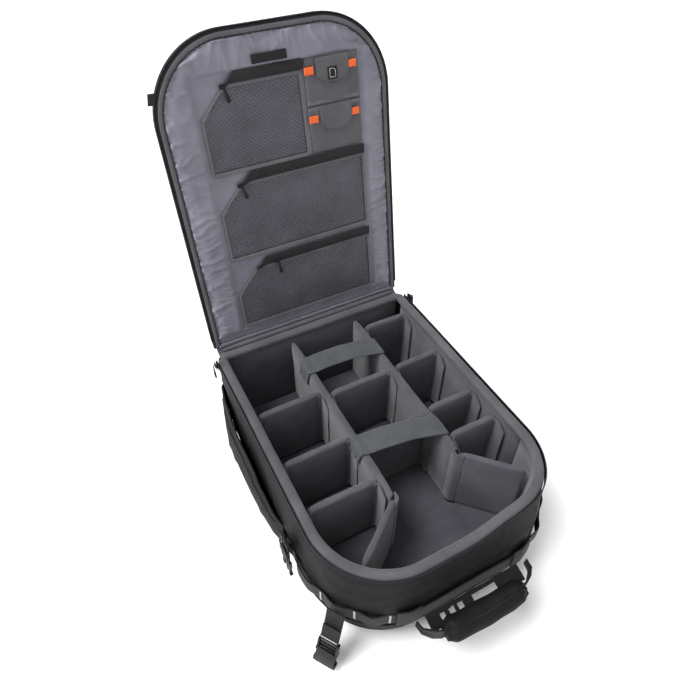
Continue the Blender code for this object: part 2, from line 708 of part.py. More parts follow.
def make_lid_pockets(lid):
    """Three mesh pockets sewn to the lining, each with a zip across its top and a slider."""
    for name, zip_left, zip_right, height, bottom, right in LID_POCKETS:
        top = height - POCKET_ZIP_WIDTH / 2 - FIT_GAP
        outline = (
            (MESH_LEFT, bottom),
            (right, bottom),
            (right, top),
            (MESH_LEFT + MESH_CHAMFER, top),
            (MESH_LEFT, top - MESH_CHAMFER),
        )
        points = [lid_point(x, s, POCKET_FACE) for x, s in outline]
        keep(f"mesh_pocket_{name}", plate(points, (0, 0, -MESH_THICKNESS)), MESH, lid)
        low = lid_point(zip_left, height + POCKET_ZIP_WIDTH / 2, POCKET_FACE - POCKET_ZIP_THICKNESS)
        high = lid_point(zip_right, height - POCKET_ZIP_WIDTH / 2, POCKET_FACE)
        keep(f"pocket_zip_{name}", block(low, high), POCKET_CLOTH, lid)
        face = POCKET_FACE - POCKET_ZIP_THICKNESS - SEWN_GAP
        start = zip_left + LOOSE_GAP
        half = POCKET_SLIDER_WIDTH / 2
        low = lid_point(start, height + half, face - POCKET_SLIDER_THICKNESS)
        high = lid_point(start + POCKET_SLIDER_LENGTH, height - half, face)
        soften(keep(f"pocket_slider_{name}", block(low, high), METAL, lid), METAL_ROUNDING, 1)


CARD_POCKETS = (("upper", 0.402, 0.342), ("lower", 0.3415, 0.2765))


def make_card_pockets(lid):
    """Two memory card pockets beside the upper mesh pocket, each closed by a flap."""
    for name, top, bottom in CARD_POCKETS:
        low = lid_point(CARD_LEFT, top, POCKET_FACE - CARD_PANEL_THICKNESS)
        high = lid_point(MESH_RIGHT, bottom + FIT_GAP, POCKET_FACE)
        keep(f"card_pocket_{name}", block(low, high), POCKET_CLOTH, lid)
        face = POCKET_FACE - CARD_PANEL_THICKNESS - SEWN_GAP
        middle = (CARD_LEFT + MESH_RIGHT) / 2
        half = CARD_FLAP_WIDTH / 2
        hinge = top - CARD_FLAP_BELOW_TOP
        outline = [(middle - half, hinge), (middle + half, hinge)]
        for step in range(7):
            turn = math.pi * step / 6
            low = hinge - CARD_FLAP_STRAIGHT - CARD_FLAP_ROUND * math.sin(turn)
            outline.append((middle + half * math.cos(turn), low))
        points = [lid_point(x, s, face) for x, s in outline]
        flap = plate(points, (0, 0, -CARD_FLAP_THICKNESS))
        keep(f"card_flap_{name}", flap, POCKET_CLOTH, lid, origin=lid_point(middle, hinge, face))


def make_harness(lid):
    """The back pad and the two shoulder straps on the lid's outer face."""
    face = LID_THICKNESS + SEWN_GAP
    low = lid_point(-BACK_PAD_HALF_WIDTH, BACK_PAD_TOP, face)
    high = lid_point(BACK_PAD_HALF_WIDTH, BACK_PAD_BOTTOM, face + BACK_PAD_THICKNESS)
    soften(keep("back_pad", block(low, high), NYLON, lid), BACK_PAD_ROUNDING, 2)
    face += BACK_PAD_THICKNESS + LOOSE_GAP
    steps = 8
    for name, sign in (("shoulder_strap_left", -1), ("shoulder_strap_right", 1)):
        sections = []
        for step in range(steps + 1):
            share = step / steps
            along = SHOULDER_STRAP_TOP - SHOULDER_STRAP_LENGTH * share
            bow = math.sin(math.pi * share * 0.62) ** 1.5
            middle = sign * (SHOULDER_STRAP_X + SHOULDER_STRAP_BOW * bow)
            taper = 1.0 - 0.8 * max(0.0, share - 0.45)
            half = SHOULDER_STRAP_WIDTH / 2 * taper
            sections.append([
                lid_point(middle - half, along, face),
                lid_point(middle + half, along, face),
                lid_point(middle + half * 0.8, along, face + SHOULDER_STRAP_THICKNESS),
                lid_point(middle - half * 0.8, along, face + SHOULDER_STRAP_THICKNESS),
            ])
        keep(name, run_along(sections), NYLON, lid)


def make_hinge_roll():
    """The folded fabric that the lid turns on, sewn to the rim along the hinge end."""
    half = HALF_WIDTH - HINGE_END_RADIUS
    sides = 10
    ring = []
    for side in range(sides):
        turn = 2 * math.pi * side / sides
        ring.append((
            -half,
            HINGE_Y + HINGE_ROLL_RADIUS * math.cos(turn),
            HINGE_Z + HINGE_ROLL_RADIUS * math.sin(turn),
        ))
    keep("hinge_roll", plate(ring, (2 * half, 0, 0)), NYLON)


make_gusset_shell()
make_wall_pads()
make_base()
make_rim()
make_hinge_roll()
make_side_pocket("side_pocket_left", 0)
make_side_pocket("side_pocket_right", RIGHT_CORNER + 1)
make_daisy_chain()
make_handle()
make_corner_strap()
make_side_strap()
make_main_sliders()
make_long_divider("left", LEFT_DIVIDER_X, LEFT_BEND_Y, -math.radians(LEFT_WING_ANGLE))
make_long_divider("right", RIGHT_DIVIDER_X, RIGHT_BEND_Y, math.radians(RIGHT_WING_ANGLE))
make_cross_dividers()
make_bridge("bridge_rear", REAR_BRIDGE_Y)
make_bridge("bridge_front", FRONT_BRIDGE_Y)
lid = empty("lid_pivot", (0.0, HINGE_Y, HINGE_Z), turn=(-math.radians(LID_OPEN_ANGLE), 0, 0))
make_lid_panel(lid)
make_lid_pockets(lid)
make_card_pockets(lid)
make_harness(lid)
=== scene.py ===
import math

import bmesh
import bpy
from mathutils import Matrix, Vector, noise


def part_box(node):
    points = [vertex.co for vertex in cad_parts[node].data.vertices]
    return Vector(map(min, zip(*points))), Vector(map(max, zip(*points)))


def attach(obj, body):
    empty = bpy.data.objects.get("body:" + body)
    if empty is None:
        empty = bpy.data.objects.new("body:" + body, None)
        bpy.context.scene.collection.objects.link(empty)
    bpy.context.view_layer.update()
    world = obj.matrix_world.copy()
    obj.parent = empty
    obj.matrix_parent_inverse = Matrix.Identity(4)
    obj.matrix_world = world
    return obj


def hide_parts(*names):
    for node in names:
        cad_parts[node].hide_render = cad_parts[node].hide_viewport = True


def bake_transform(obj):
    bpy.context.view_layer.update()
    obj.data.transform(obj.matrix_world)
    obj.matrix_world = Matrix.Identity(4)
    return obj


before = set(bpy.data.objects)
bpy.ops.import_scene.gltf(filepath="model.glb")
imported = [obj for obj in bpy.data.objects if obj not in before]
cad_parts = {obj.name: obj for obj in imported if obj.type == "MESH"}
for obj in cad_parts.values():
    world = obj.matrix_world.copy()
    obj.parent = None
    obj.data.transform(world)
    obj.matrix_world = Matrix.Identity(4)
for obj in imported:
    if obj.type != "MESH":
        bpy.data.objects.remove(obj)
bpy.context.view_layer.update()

# The view, the floor and the light: one camera above the near left corner, a pale floor, and
# soft light from overhead, two weaker panels and the pale room round it.
eye = Vector((-0.28806, -0.44438, 0.85708))
azimuth, elevation, roll = math.radians(-26.8508), math.radians(44.6518), math.radians(-0.6196)
back = Vector((
    math.sin(azimuth) * math.cos(elevation),
    -math.cos(azimuth) * math.cos(elevation),
    math.sin(elevation),
))
level = Vector((0, 0, 1)).cross(back).normalized()
upright = back.cross(level)
right = level * math.cos(roll) + upright * math.sin(roll)
up = upright * math.cos(roll) - level * math.sin(roll)
lens = bpy.data.cameras.new("view")
lens.sensor_width = 36.0
lens.lens = 31.0
lens.clip_start = 0.02
camera = bpy.data.objects.new("view", lens)
bpy.context.scene.collection.objects.link(camera)
camera.matrix_world = Matrix.Translation(eye) @ Matrix((right, up, back)).transposed().to_4x4()
bpy.context.scene.camera = camera

FLOOR_HALF, FLOOR_DROP = 6.0, -0.0005
floor_mesh = bmesh.new()
bmesh.ops.create_grid(floor_mesh, x_segments=1, y_segments=1, size=FLOOR_HALF)
bmesh.ops.translate(floor_mesh, verts=floor_mesh.verts, vec=(0, 0, FLOOR_DROP))
floor_data = bpy.data.meshes.new("floor")
floor_mesh.to_mesh(floor_data)
floor_mesh.free()
floor = bpy.data.objects.new("floor", floor_data)
bpy.context.scene.collection.objects.link(floor)


def plain(name, colour, settings):
    """A material of one colour, with those settings of its shader."""
    material = bpy.data.materials.new(name)
    material.use_nodes = True
    shader = material.node_tree.nodes["Principled BSDF"]
    shader.inputs["Base Color"].default_value = (*colour, 1)
    for setting, value in settings.items():
        shader.inputs[setting].default_value = value
    return material


floor_data.materials.append(plain("pale_floor", (0.95, 0.95, 0.95), {"Roughness": 0.95}))

room = bpy.data.worlds.new("pale_room")
room.use_nodes = True
room.node_tree.nodes["Background"].inputs["Color"].default_value = (1.0, 1.0, 1.0, 1)
room.node_tree.nodes["Background"].inputs["Strength"].default_value = 0.66
bpy.context.scene.world = room
bpy.context.scene.view_settings.view_transform = "Standard"
key = bpy.data.lights.new("overhead", "SUN")
key.energy = 2.6
key.angle = math.radians(24)
lamp = bpy.data.objects.new("overhead", key)
lamp.rotation_euler = Vector((0.48, -0.06, -1.0)).to_track_quat("-Z", "Y").to_euler()
bpy.context.scene.collection.objects.link(lamp)
for name, place, aim, size, watts in (
    ("by_camera", (-1.8, 0.0, 1.0), (0, 0.1, 0.2), 0.6, 16.0),
    ("behind", (0.9, 1.6, 1.4), (0, 0.2, 0.3), 1.0, 8.0),
):
    panel = bpy.data.lights.new(name, "AREA")
    panel.size = size
    panel.energy = watts
    lamp = bpy.data.objects.new(name, panel)
    lamp.location = place
    lamp.rotation_euler = (Vector(aim) - Vector(place)).to_track_quat("-Z", "Y").to_euler()
    bpy.context.scene.collection.objects.link(lamp)

# The black walls: one band of coated nylon all round, sewn to the rim at its top and to the
# front panel at its foot. It swells between the two seams and hangs in shallow creases.
HALF_WIDTH = 0.172
HANDLE_END, HINGE_END = -0.225, 0.225
BIG_RADIUS, SMALL_RADIUS = 0.108, 0.012
BAG_TOP = 0.185
SIDE_RUN = 0.330
CORNER_RUN = BIG_RADIUS * math.pi / 2
END_RUN = 2 * (HALF_WIDTH - BIG_RADIUS)
WHOLE_RUN = 2 * SIDE_RUN + 2 * CORNER_RUN + END_RUN
WALL_FOOT, WALL_RISE = 0.0205, 0.157
UPWARD = Vector((0, 0, 1))


def walk(along):
    """The rim's edge and its outward direction, down the left side, round the handle end, up the right."""
    start, end = HINGE_END - SMALL_RADIUS, HANDLE_END + BIG_RADIUS
    middle = HALF_WIDTH - BIG_RADIUS
    if along < SIDE_RUN:
        return Vector((-HALF_WIDTH, start - along, 0)), Vector((-1, 0, 0))
    along -= SIDE_RUN
    if along < CORNER_RUN:
        turn = math.pi + along / BIG_RADIUS
        outward = Vector((math.cos(turn), math.sin(turn), 0))
        return Vector((-middle, end, 0)) + outward * BIG_RADIUS, outward
    along -= CORNER_RUN
    if along < END_RUN:
        return Vector((along - middle, HANDLE_END, 0)), Vector((0, -1, 0))
    along -= END_RUN
    if along < CORNER_RUN:
        turn = 1.5 * math.pi + along / BIG_RADIUS
        outward = Vector((math.cos(turn), math.sin(turn), 0))
        return Vector((middle, end, 0)) + outward * BIG_RADIUS, outward
    return Vector((HALF_WIDTH, end + along - CORNER_RUN, 0)), Vector((1, 0, 0))


def on_rim(along, out, height):
    """A point out from the rim's edge. The wall's top sags in a little, right of its middle."""
    point, outward = walk(along)
    sag = 0.0085 * math.exp(-((along - 0.640) / 0.050) ** 2) * smooth(0.09, 0.18, height)
    sag *= 1 - smooth(BAG_TOP + 0.0005, BAG_TOP + 0.001, height)
    return point + outward * (out - sag) + Vector((0, 0, height))


def smooth(low, high, value):
    """Goes from 0 to 1 between low and high, with no corner at either."""
    share = min(max((value - low) / (high - low), 0.0), 1.0)
    return share * share * (3 - 2 * share)


def wall_swell(along, height):
    """How far the wall stands outside the rim. It fades out by the hinge."""
    ends = smooth(0.0, 0.11, along) * smooth(0.0, 0.11, WHOLE_RUN - along)
    share = min(max((height - 0.0224) / 0.1532, 0.0), 1.0)
    tuck = 0.0035 * (1 - smooth(0.0, 0.18, share))
    return 0.0085 * ends * math.sin(math.pi * share ** 0.8) - tuck


def on_wall(along, out, height):
    """A point out from the swelled wall."""
    return on_rim(along, wall_swell(along, height) + out, height)


def ripple(x, y, z):
    """The unevenness of soft cloth, from about -1 to 1, at that place in its pattern."""
    return noise.noise(Vector((x, y, z)))


def crease(point, size, depth):
    """A soft ridged pattern, for cloth that has been folded and handled."""
    ridge = 1 - abs(noise.noise(point / size)) * 2.2
    return depth * (max(ridge, 0.0) ** 3 + 0.5 * noise.noise(point / size * 2.3))


def patch(columns, rows, shape, mesh=None):
    """A sheet whose points are placed by shape(u, v), both from 0 to 1, with its UV map."""
    mesh = mesh or bmesh.new()
    chart = mesh.loops.layers.uv.verify()
    made = bmesh.ops.create_grid(mesh, x_segments=columns, y_segments=rows, size=0.5)["verts"]
    for point in made:
        share = (point.co.x + 0.5, point.co.y + 0.5)
        for loop in point.link_loops:
            loop[chart].uv = share
        point.co = shape(*share)
    return mesh


def finish(name, mesh, material, body, nodes=(), turn=None, weld=1e-5, outward=True):
    """Welds a piece and hangs it on its body, or on none when it bends between two."""
    bmesh.ops.remove_doubles(mesh, verts=mesh.verts, dist=weld)
    if outward:
        bmesh.ops.recalc_face_normals(mesh, faces=mesh.faces)
    if turn:
        bmesh.ops.transform(mesh, matrix=turn, verts=mesh.verts)
    for face in mesh.faces:
        face.smooth = True
    data = bpy.data.meshes.new(name)
    mesh.to_mesh(data)
    mesh.free()
    data.materials.append(material)
    piece = bpy.data.objects.new(name, data)
    bpy.context.scene.collection.objects.link(piece)
    if body:
        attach(piece, body)
    if nodes:
        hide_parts(*nodes)
    return piece


def thicken(piece, thickness, offset=-1.0):
    """Gives a sheet its cloth's thickness."""
    wall = piece.modifiers.new("cloth", "SOLIDIFY")
    wall.thickness = thickness
    wall.offset = offset


def round_off(piece, width, segments=2):
    """Rounds a hard edge all round the piece."""
    edge = piece.modifiers.new("edge", "BEVEL")
    edge.width = width
    edge.segments = segments
    edge.limit_method = "ANGLE"
    edge.angle_limit = math.radians(35)


def add_node(material, kind, settings=None):
    """A shader node of that kind, with those settings."""
    node = material.node_tree.nodes.new("ShaderNode" + kind)
    for setting, value in (settings or {}).items():
        node.inputs[setting].default_value = value
    return node


WAVE_SCALE = 0.314  # a wave texture of this scale repeats once in a metre of pitch


def cloth(name, colour, pitch=0.0013, weave=0.3, roughness=0.8, sheen=0.25, mottle=0.18, tint=None,
          turn=0.0, lustre=0.3, ways="XYZ"):
    """A woven cloth: threads crossing at that pitch, a little unevenness in its dye and its gloss, and
    painted light and shade on the threads, lighter on their crests and darker in the weave's valleys.
    """
    material = plain(name, colour, {"Roughness": roughness, "Sheen Weight": sheen, "Sheen Roughness": 0.45,
                                    "Specular IOR Level": lustre})
    links = material.node_tree.links
    shader = material.node_tree.nodes["Principled BSDF"]
    where = add_node(material, "TexCoord")
    turned = add_node(material, "Mapping", {"Rotation": (turn, 0, 0)})
    links.new(where.outputs["Object"], turned.inputs["Vector"])
    threads = None
    for direction in ways:
        wave = add_node(material, "TexWave", {"Scale": WAVE_SCALE / pitch, "Distortion": 0.4,
                                              "Detail Scale": 6.0})
        wave.bands_direction = direction
        links.new(turned.outputs["Vector"], wave.inputs["Vector"])
        if threads:
            both = add_node(material, "Math")
            both.operation = "ADD"
            links.new(threads, both.inputs[0])
            links.new(wave.outputs["Fac"], both.inputs[1])
            threads = both.outputs[0]
        else:
            threads = wave.outputs["Fac"]
    bump = add_node(material, "Bump", {"Strength": weave, "Distance": pitch * 0.35})
    links.new(threads, bump.inputs["Height"])
    links.new(bump.outputs["Normal"], shader.inputs["Normal"])
    cloud = add_node(material, "TexNoise", {"Scale": 22.0, "Detail": 6.0, "Roughness": 0.65})
    links.new(turned.outputs["Vector"], cloud.inputs["Vector"])
    tones = add_node(material, "ValToRGB")
    other = tint or [part * (1 + 2.2 * mottle) for part in colour]
    first, second = tones.color_ramp.elements
    first.position, first.color = 0.32, (*[part * (1 - mottle) for part in colour], 1)
    second.position, second.color = 0.72, (*other, 1)
    links.new(cloud.outputs["Fac"], tones.inputs["Fac"])
    # Painted light and shade: the colour is lightened on the threads' crests and darkened in the weave's
    # valleys.
    shade = add_node(material, "MapRange", {"From Max": float(len(ways)), "To Min": 0.78, "To Max": 1.16})
    links.new(threads, shade.inputs["Value"])
    tone_and_weave_shade = add_node(material, "VectorMath")
    tone_and_weave_shade.operation = "SCALE"
    links.new(tones.outputs["Color"], tone_and_weave_shade.inputs[0])
    links.new(shade.outputs["Result"], tone_and_weave_shade.inputs["Scale"])
    links.new(tone_and_weave_shade.outputs["Vector"], shader.inputs["Base Color"])
    return material


nylon = cloth("black_nylon", (0.0095, 0.0090, 0.0101), 0.0011, 0.30, 0.62, 0.0, 0.18, lustre=0.12)


def wall_point(u, v):
    along = WHOLE_RUN * u
    height = WALL_FOOT + WALL_RISE * v
    fold = crease(Vector((along, height * 1.7, 0.3)), 0.055, 0.0016)
    fold += 0.0012 * ripple(along * 9, height * 26, 4.0)
    fold *= smooth(0.0, 0.15, v) * (1 - smooth(0.86, 1.0, v))
    return on_wall(along, fold, height)


walls = patch(260, 34, wall_point)


def rear_wall_point(u, v):
    """The short wall by the hinge, between the two rounded corners."""
    run = 2 * (HALF_WIDTH - SMALL_RADIUS)
    turn_run = SMALL_RADIUS * math.pi / 2
    along = u * (run + 2 * turn_run) - turn_run
    height = WALL_FOOT + WALL_RISE * v
    fold = 0.0008 * ripple(along * 14, height * 22, 9.0) - 0.0035 * (1 - smooth(0, 0.18, v))
    middle = HALF_WIDTH - SMALL_RADIUS
    over = max(-along, along - run, 0.0) / SMALL_RADIUS
    side = -1 if along > run / 2 else 1
    centre = Vector((middle - min(max(along, 0.0), run), HINGE_END - SMALL_RADIUS, height))
    outward = Vector((side * math.sin(over), math.cos(over), 0))
    return centre + outward * (SMALL_RADIUS + fold)


patch(60, 34, rear_wall_point, walls)
walls = finish("black_walls", walls, nylon, "bag", ("gusset_shell",), outward=False)
thicken(walls, 0.0018)

# The seams in the black walls: a folded tape over the foot of the wall, and a rounded piping
# sewn into the handle end where the wall's upper and lower cloths meet.
piping = cloth("black_piping", (0.010, 0.010, 0.011), 0.0022, 0.5, 0.55, 0.02, 0.1, lustre=0.2)


def tube(run, radius, path, sides=10, mesh=None):
    """A round tube along path(u), which gives a point, the outward and the upward direction."""
    def ring(u, v):
        point, outward, above = path(u)
        turn = 2 * math.pi * v
        size = radius(u) if callable(radius) else radius
        return point + outward * (size * math.cos(turn)) + above * (size * math.sin(turn))
    return patch(run, sides, ring, mesh)


def wall_line(low, height, start=0.0, end=WHOLE_RUN, out=0.001):
    """A path that lies on the wall at that height, from one distance to the other."""
    def path(u):
        along = start + (end - start) * u
        outward = walk(along)[1]
        z = height + low * math.sin(math.pi * u)
        return on_wall(along, out, z), outward, UPWARD
    return path


seams = tube(240, 0.0021, wall_line(0.0, 0.0235, out=0.0006))
tube(180, 0.0014, wall_line(0.0, 0.0655, 0.2, WHOLE_RUN - 0.2, 0.0008), mesh=seams)
finish("wall_piping", seams, piping, "bag")

# The rim: a foam roll in grey cloth, sewn to the walls' top edge. It lies in a slow wave round
# the handle end, and its two rows of stitches pull it in a little.
rim_cloth = cloth("grey_rim_cloth", (0.084, 0.082, 0.092), 0.0014, 0.3, 0.85, 0.22, 0.14,
                  (0.112, 0.109, 0.121), lustre=0.2)
thread = cloth("grey_thread", (0.06, 0.06, 0.066), 0.0006, 0.4, 0.7, 0.1, 0.1)
ROLL_WIDTH, ROLL_DEPTH = 0.0142, 0.0098
ROLL_MIDDLE = BAG_TOP - 0.0012 - ROLL_DEPTH / 2


def boxy(wave, power):
    """Squares up a sine wave, for a section between round and square."""
    return math.copysign(abs(wave) ** power, wave)


def rim_roll(u, v):
    turn = 2 * math.pi * v
    across = boxy(math.cos(turn), 0.62) * ROLL_WIDTH / 2
    rise = boxy(math.sin(turn), 0.75) * ROLL_DEPTH / 2
    along = WHOLE_RUN * u
    wave = 0.0011 * ripple(along * 11, 0.4, 0.0)
    wave += 0.0010 * math.sin(along * 34) * smooth(0.38, 0.5, u) * (1 - smooth(0.55, 0.66, u))
    pull = 1 + 0.05 * ripple(along * 60, v * 5, 2.0)
    height = ROLL_MIDDLE + rise * pull + wave * 0.5
    return on_rim(along, -ROLL_WIDTH / 2 + across * pull + wave * 0.5, height)


roll = patch(300, 20, rim_roll)


def rear_roll(u, v):
    """The part of the roll along the hinge, which turns the two square corners."""
    half = HALF_WIDTH - ROLL_WIDTH / 2
    depth = HINGE_END - ROLL_WIDTH / 2
    low = HINGE_END - SMALL_RADIUS
    side = depth - low
    run = 2 * half + 2 * side
    along = u * run
    if along < side:
        point, outward = Vector((half, low + along, 0)), Vector((1, 0, 0))
    elif along < side + 2 * half:
        point, outward = Vector((half - (along - side), depth, 0)), Vector((0, 1, 0))
    else:
        point, outward = Vector((-half, low + run - along, 0)), Vector((-1, 0, 0))
    corner = min(abs(along - side), abs(along - side - 2 * half)) / 0.008
    if corner < 1:
        middle = Vector((math.copysign(1, point.x), 1, 0)).normalized()
        outward = outward.lerp(middle, 1 - corner).normalized()
        point = point - outward * 0.004 * (1 - corner) ** 2
    turn = 2 * math.pi * v
    across = boxy(math.cos(turn), 0.62) * ROLL_WIDTH / 2
    rise = boxy(math.sin(turn), 0.75) * ROLL_DEPTH / 2
    wave = 0.0009 * ripple(along * 13, 7.4, 0.0)
    return point + outward * across + Vector((0, 0, ROLL_MIDDLE + rise + wave * 0.5))


patch(120, 20, rear_roll, roll)
roll = finish("rim_roll", roll, rim_cloth, "bag", ("rim_binding",))


def stitches(count, place, length, radius=0.00035):
    """A row of stitches: short lengths of thread, each lying along place(share)'s direction."""
    mesh = bmesh.new()
    for number in range(count):
        point, direction, above = place((number + 0.5) / count)
        made = bmesh.ops.create_cube(mesh, size=1.0)["verts"]
        side = direction.cross(above).normalized()
        above = side.cross(direction).normalized()
        shape = Matrix((direction.normalized() * length, side * radius * 2, above * radius * 2)).transposed()
        bmesh.ops.transform(mesh, matrix=Matrix.Translation(point) @ shape.to_4x4(), verts=made)
    return mesh


def along_rim(out, height):
    def place(share):
        along = WHOLE_RUN * (0.01 + 0.98 * share)
        outward = walk(along)[1]
        return on_rim(along, out, height), outward.cross(UPWARD), outward
    return place


row = stitches(300, along_rim(0.0001, BAG_TOP - 0.0062), 0.0022)
finish("rim_stitches", row, thread, "bag")

# The main zip's lower half: black woven tape sewn outside the rim, with a moulded coil of small
# teeth along its upper edge. It runs from one parked slider round the handle end to the other.
zip_tape = cloth("zip_tape_cloth", (0.0085, 0.0085, 0.010), 0.0011, 0.4, 0.65, 0.0, 0.12, lustre=0.1)
coil = plain("zip_coil", (0.016, 0.015, 0.022), {"Roughness": 0.42, "Specular IOR Level": 0.25})


def tape_point(u, v):
    along = WHOLE_RUN * u
    height = BAG_TOP - 0.018 + 0.0165 * v
    bulge = 0.0004 * math.sin(math.pi * v)
    swell = wall_swell(along, min(height, 0.1756)) * (1 - smooth(0.5, 1, v))
    return on_rim(along, swell + 0.0016 + bulge, height)


tape = finish("main_zip_tape", patch(280, 6, tape_point), zip_tape, "bag",
              ("zip_chain_body",), outward=False)
thicken(tape, 0.0009, 1.0)


TOOTH = Vector((0.00085, 0.0011, 0.0016))
ZIP_TEETH = 560


def coil_teeth(count, place):
    """Zip teeth: small rounded bars, all alike, side by side along place(share)."""
    mesh = bmesh.new()
    for number in range(count):
        point, direction, above = place((number + 0.5) / count)
        made = bmesh.ops.create_icosphere(mesh, subdivisions=1, radius=1.0)["verts"]
        side = direction.cross(above).normalized()
        shape = Matrix((direction.normalized() * TOOTH.x, side * TOOTH.y, above.normalized() * TOOTH.z))
        place_of = Matrix.Translation(point) @ shape.transposed().to_4x4()
        bmesh.ops.transform(mesh, matrix=place_of, verts=made)
    return mesh


def tooth_line(out, height, start=0.0):
    """Where a coil's teeth sit along the rim, so far out and at that height, clear of both ends."""
    def place(share):
        along = start + (WHOLE_RUN - 2 * start) * share
        outward = walk(along)[1]
        return on_rim(along, out, height), outward.cross(UPWARD), UPWARD
    return place


teeth = coil_teeth(ZIP_TEETH, tooth_line(0.0024, BAG_TOP - 0.0022))
finish("main_zip_coil", teeth, coil, "bag")

# The padded lining of the walls: foam in dark grey brushed cloth, in four pads that meet at the
# corners. The hook tape of the dividers holds anywhere on its nap.
lining = cloth("brushed_lining", (0.079, 0.0745, 0.090), 0.0017, 0.35, 0.93, 0.30, 0.16,
               (0.107, 0.101, 0.121), lustre=0.12)
PAD_OUT, PAD_IN = -0.0030, -0.0140
PAD_MIDDLE, PAD_REACH = 0.104, 0.072


def pad_section(u, v):
    """How far inward a pad's cover is, how high, and how full it is away from its ends."""
    turn = 2 * math.pi * v
    inward = (1 - math.cos(turn)) / 2
    height = PAD_MIDDLE + PAD_REACH * boxy(math.sin(turn), 0.55)
    return inward, height, inward ** 0.6 * (1 - abs(2 * u - 1) ** 14)


def pad_run(start, end):
    """A wall pad between two distances along the rim: its inner face swells between its seams."""
    def pad(u, v):
        along = start + (end - start) * u
        inward, height, full = pad_section(u, v)
        soft = 0.9 + 0.1 * ripple(along * 20, height * 20, 5.0)
        deep = PAD_OUT + (PAD_IN - PAD_OUT) * full * soft
        return on_rim(along, deep + wall_swell(along, height) * (1 - inward), height)
    return pad


meeting = 0.0006
for name, start, end, columns, node in (
    ("left_wall_pad", meeting, SIDE_RUN - meeting, 90, "wall_pad_left"),
    ("handle_end_pad", SIDE_RUN + meeting, WHOLE_RUN - SIDE_RUN - meeting, 150, "wall_pad_handle_end"),
    ("right_wall_pad", WHOLE_RUN - SIDE_RUN + meeting, WHOLE_RUN - meeting, 90, "wall_pad_right"),
):
    pad = finish(name, patch(columns, 24, pad_run(start, end)), lining, "bag", (node,))


def rear_pad(u, v):
    _, height, full = pad_section(u, v)
    return Vector((0.1655 * (1 - 2 * u), HINGE_END - 0.0035 - 0.0106 * full, height))


pad = finish("rear_wall_pad", patch(80, 24, rear_pad), lining, "bag", ("wall_pad_hinge_end",))

# The padded floor of the compartment, a loose foam slab in the same cloth, and the stiff front
# panel under it, which the walls are sewn to.


def rim_ring(mesh, inset, height):
    """A ring that follows the rim's edge, inset from it."""
    ring = bmesh.ops.create_circle(mesh, segments=96, radius=1.0)["verts"]
    bmesh.ops.rotate(mesh, verts=ring, matrix=Matrix.Rotation(math.pi / 96, 3, "Z"))
    for point in ring:
        rear = point.co.y > 0
        radius = max((SMALL_RADIUS if rear else BIG_RADIUS) - inset, 0.003)
        end = HINGE_END - inset if rear else -HANDLE_END - inset
        x = point.co.x * radius + math.copysign(HALF_WIDTH - inset - radius, point.co.x)
        y = point.co.y * radius + math.copysign(end - radius, point.co.y)
        point.co = (x, y, height)
    edges = list({edge for point in ring for edge in point.link_edges})
    long = [edge for edge in edges if edge.calc_length() > 0.03]
    made = bmesh.ops.subdivide_edges(mesh, edges=long, cuts=24)["geom_split"]
    edges += [item for item in made if isinstance(item, bmesh.types.BMEdge)]
    return list({edge for edge in edges if edge.is_valid})


def slab(levels):
    """A flat cushion: rings at those insets and heights joined up, the two end rings closed over."""
    mesh = bmesh.new()
    rings = [rim_ring(mesh, inset, height) for inset, height in levels]
    for lower, upper in zip(rings, rings[1:]):
        bmesh.ops.bridge_loops(mesh, edges=lower + upper)
    for ring in (rings[0], rings[-1]):
        bmesh.ops.contextual_create(mesh, geom=ring)
    return mesh


levels = ((0.05, 0.0330), (0.017, 0.0332), (0.0148, 0.0350), (0.0148, 0.0405), (0.0165, 0.0425),
          (0.03, 0.0429))
pad = finish("floor_pad", slab(levels), lining, "bag", ("base_pad",))
levels = ((0.03, 0.0226), (0.0066, 0.0226), (0.0066, 0.0322), (0.03, 0.0322))
finish("front_stiffener", slab(levels), nylon, "bag", ("front_panel",))

# The front pocket that the bag lies on: black nylon over thin foam, flat underneath where it
# rests, with a piped edge and a zip round its side.
levels = ((0.030, 0.0220), (0.0105, 0.0220), (0.0070, 0.0190), (0.0055, 0.0140), (0.0060, 0.0090),
          (0.0090, 0.0040), (0.0150, 0.0010), (0.026, 0.0002), (0.060, 0.0001))
pocket = slab(levels)
for point in pocket.verts:
    fold = 0.0016 * ripple(point.co.x * 16, point.co.y * 16, point.co.z * 55)
    fold *= smooth(0.002, 0.012, point.co.z)
    point.co.x += fold * (1 if point.co.x > 0 else -1)
    point.co.y += fold * (1 if point.co.y > 0 else -1) * 0.7
finish("front_pocket_cloth", pocket, nylon, "bag", ("front_pocket",))
seam = tube(240, 0.0018, wall_line(0.0, 0.0200, out=-0.0045))
finish("front_pocket_piping", seam, piping, "bag")
finish("front_pocket_coil", coil_teeth(420, tooth_line(-0.0052, 0.0120, 0.12)), coil, "bag")

# The rolled fold along the hinge that the lid turns on: the lid's cloth and the wall's, sewn
# together and bound.


def fold_path(u):
    return Vector((0.158 * (2 * u - 1), 0.230, 0.1822)), Vector((0, 1, 0)), UPWARD


def fold_size(u):
    return 0.0040 + 0.0003 * ripple(u * 40, 0, 0) - 0.002 * abs(2 * u - 1) ** 12


roll = tube(90, fold_size, fold_path, 14)
finish("hinge_fold", roll, rim_cloth, "bag", ("hinge_roll",))

# The dividers: foam boards in the same brushed cloth, boxed along their top edge, with a seam just
# below it. The covers swell over the foam between their seams. The long two fold at a crease.
DIVIDER_LOW, DIVIDER_HIGH = 0.0434, 0.170
BOARD_PRESSURE = 2.5


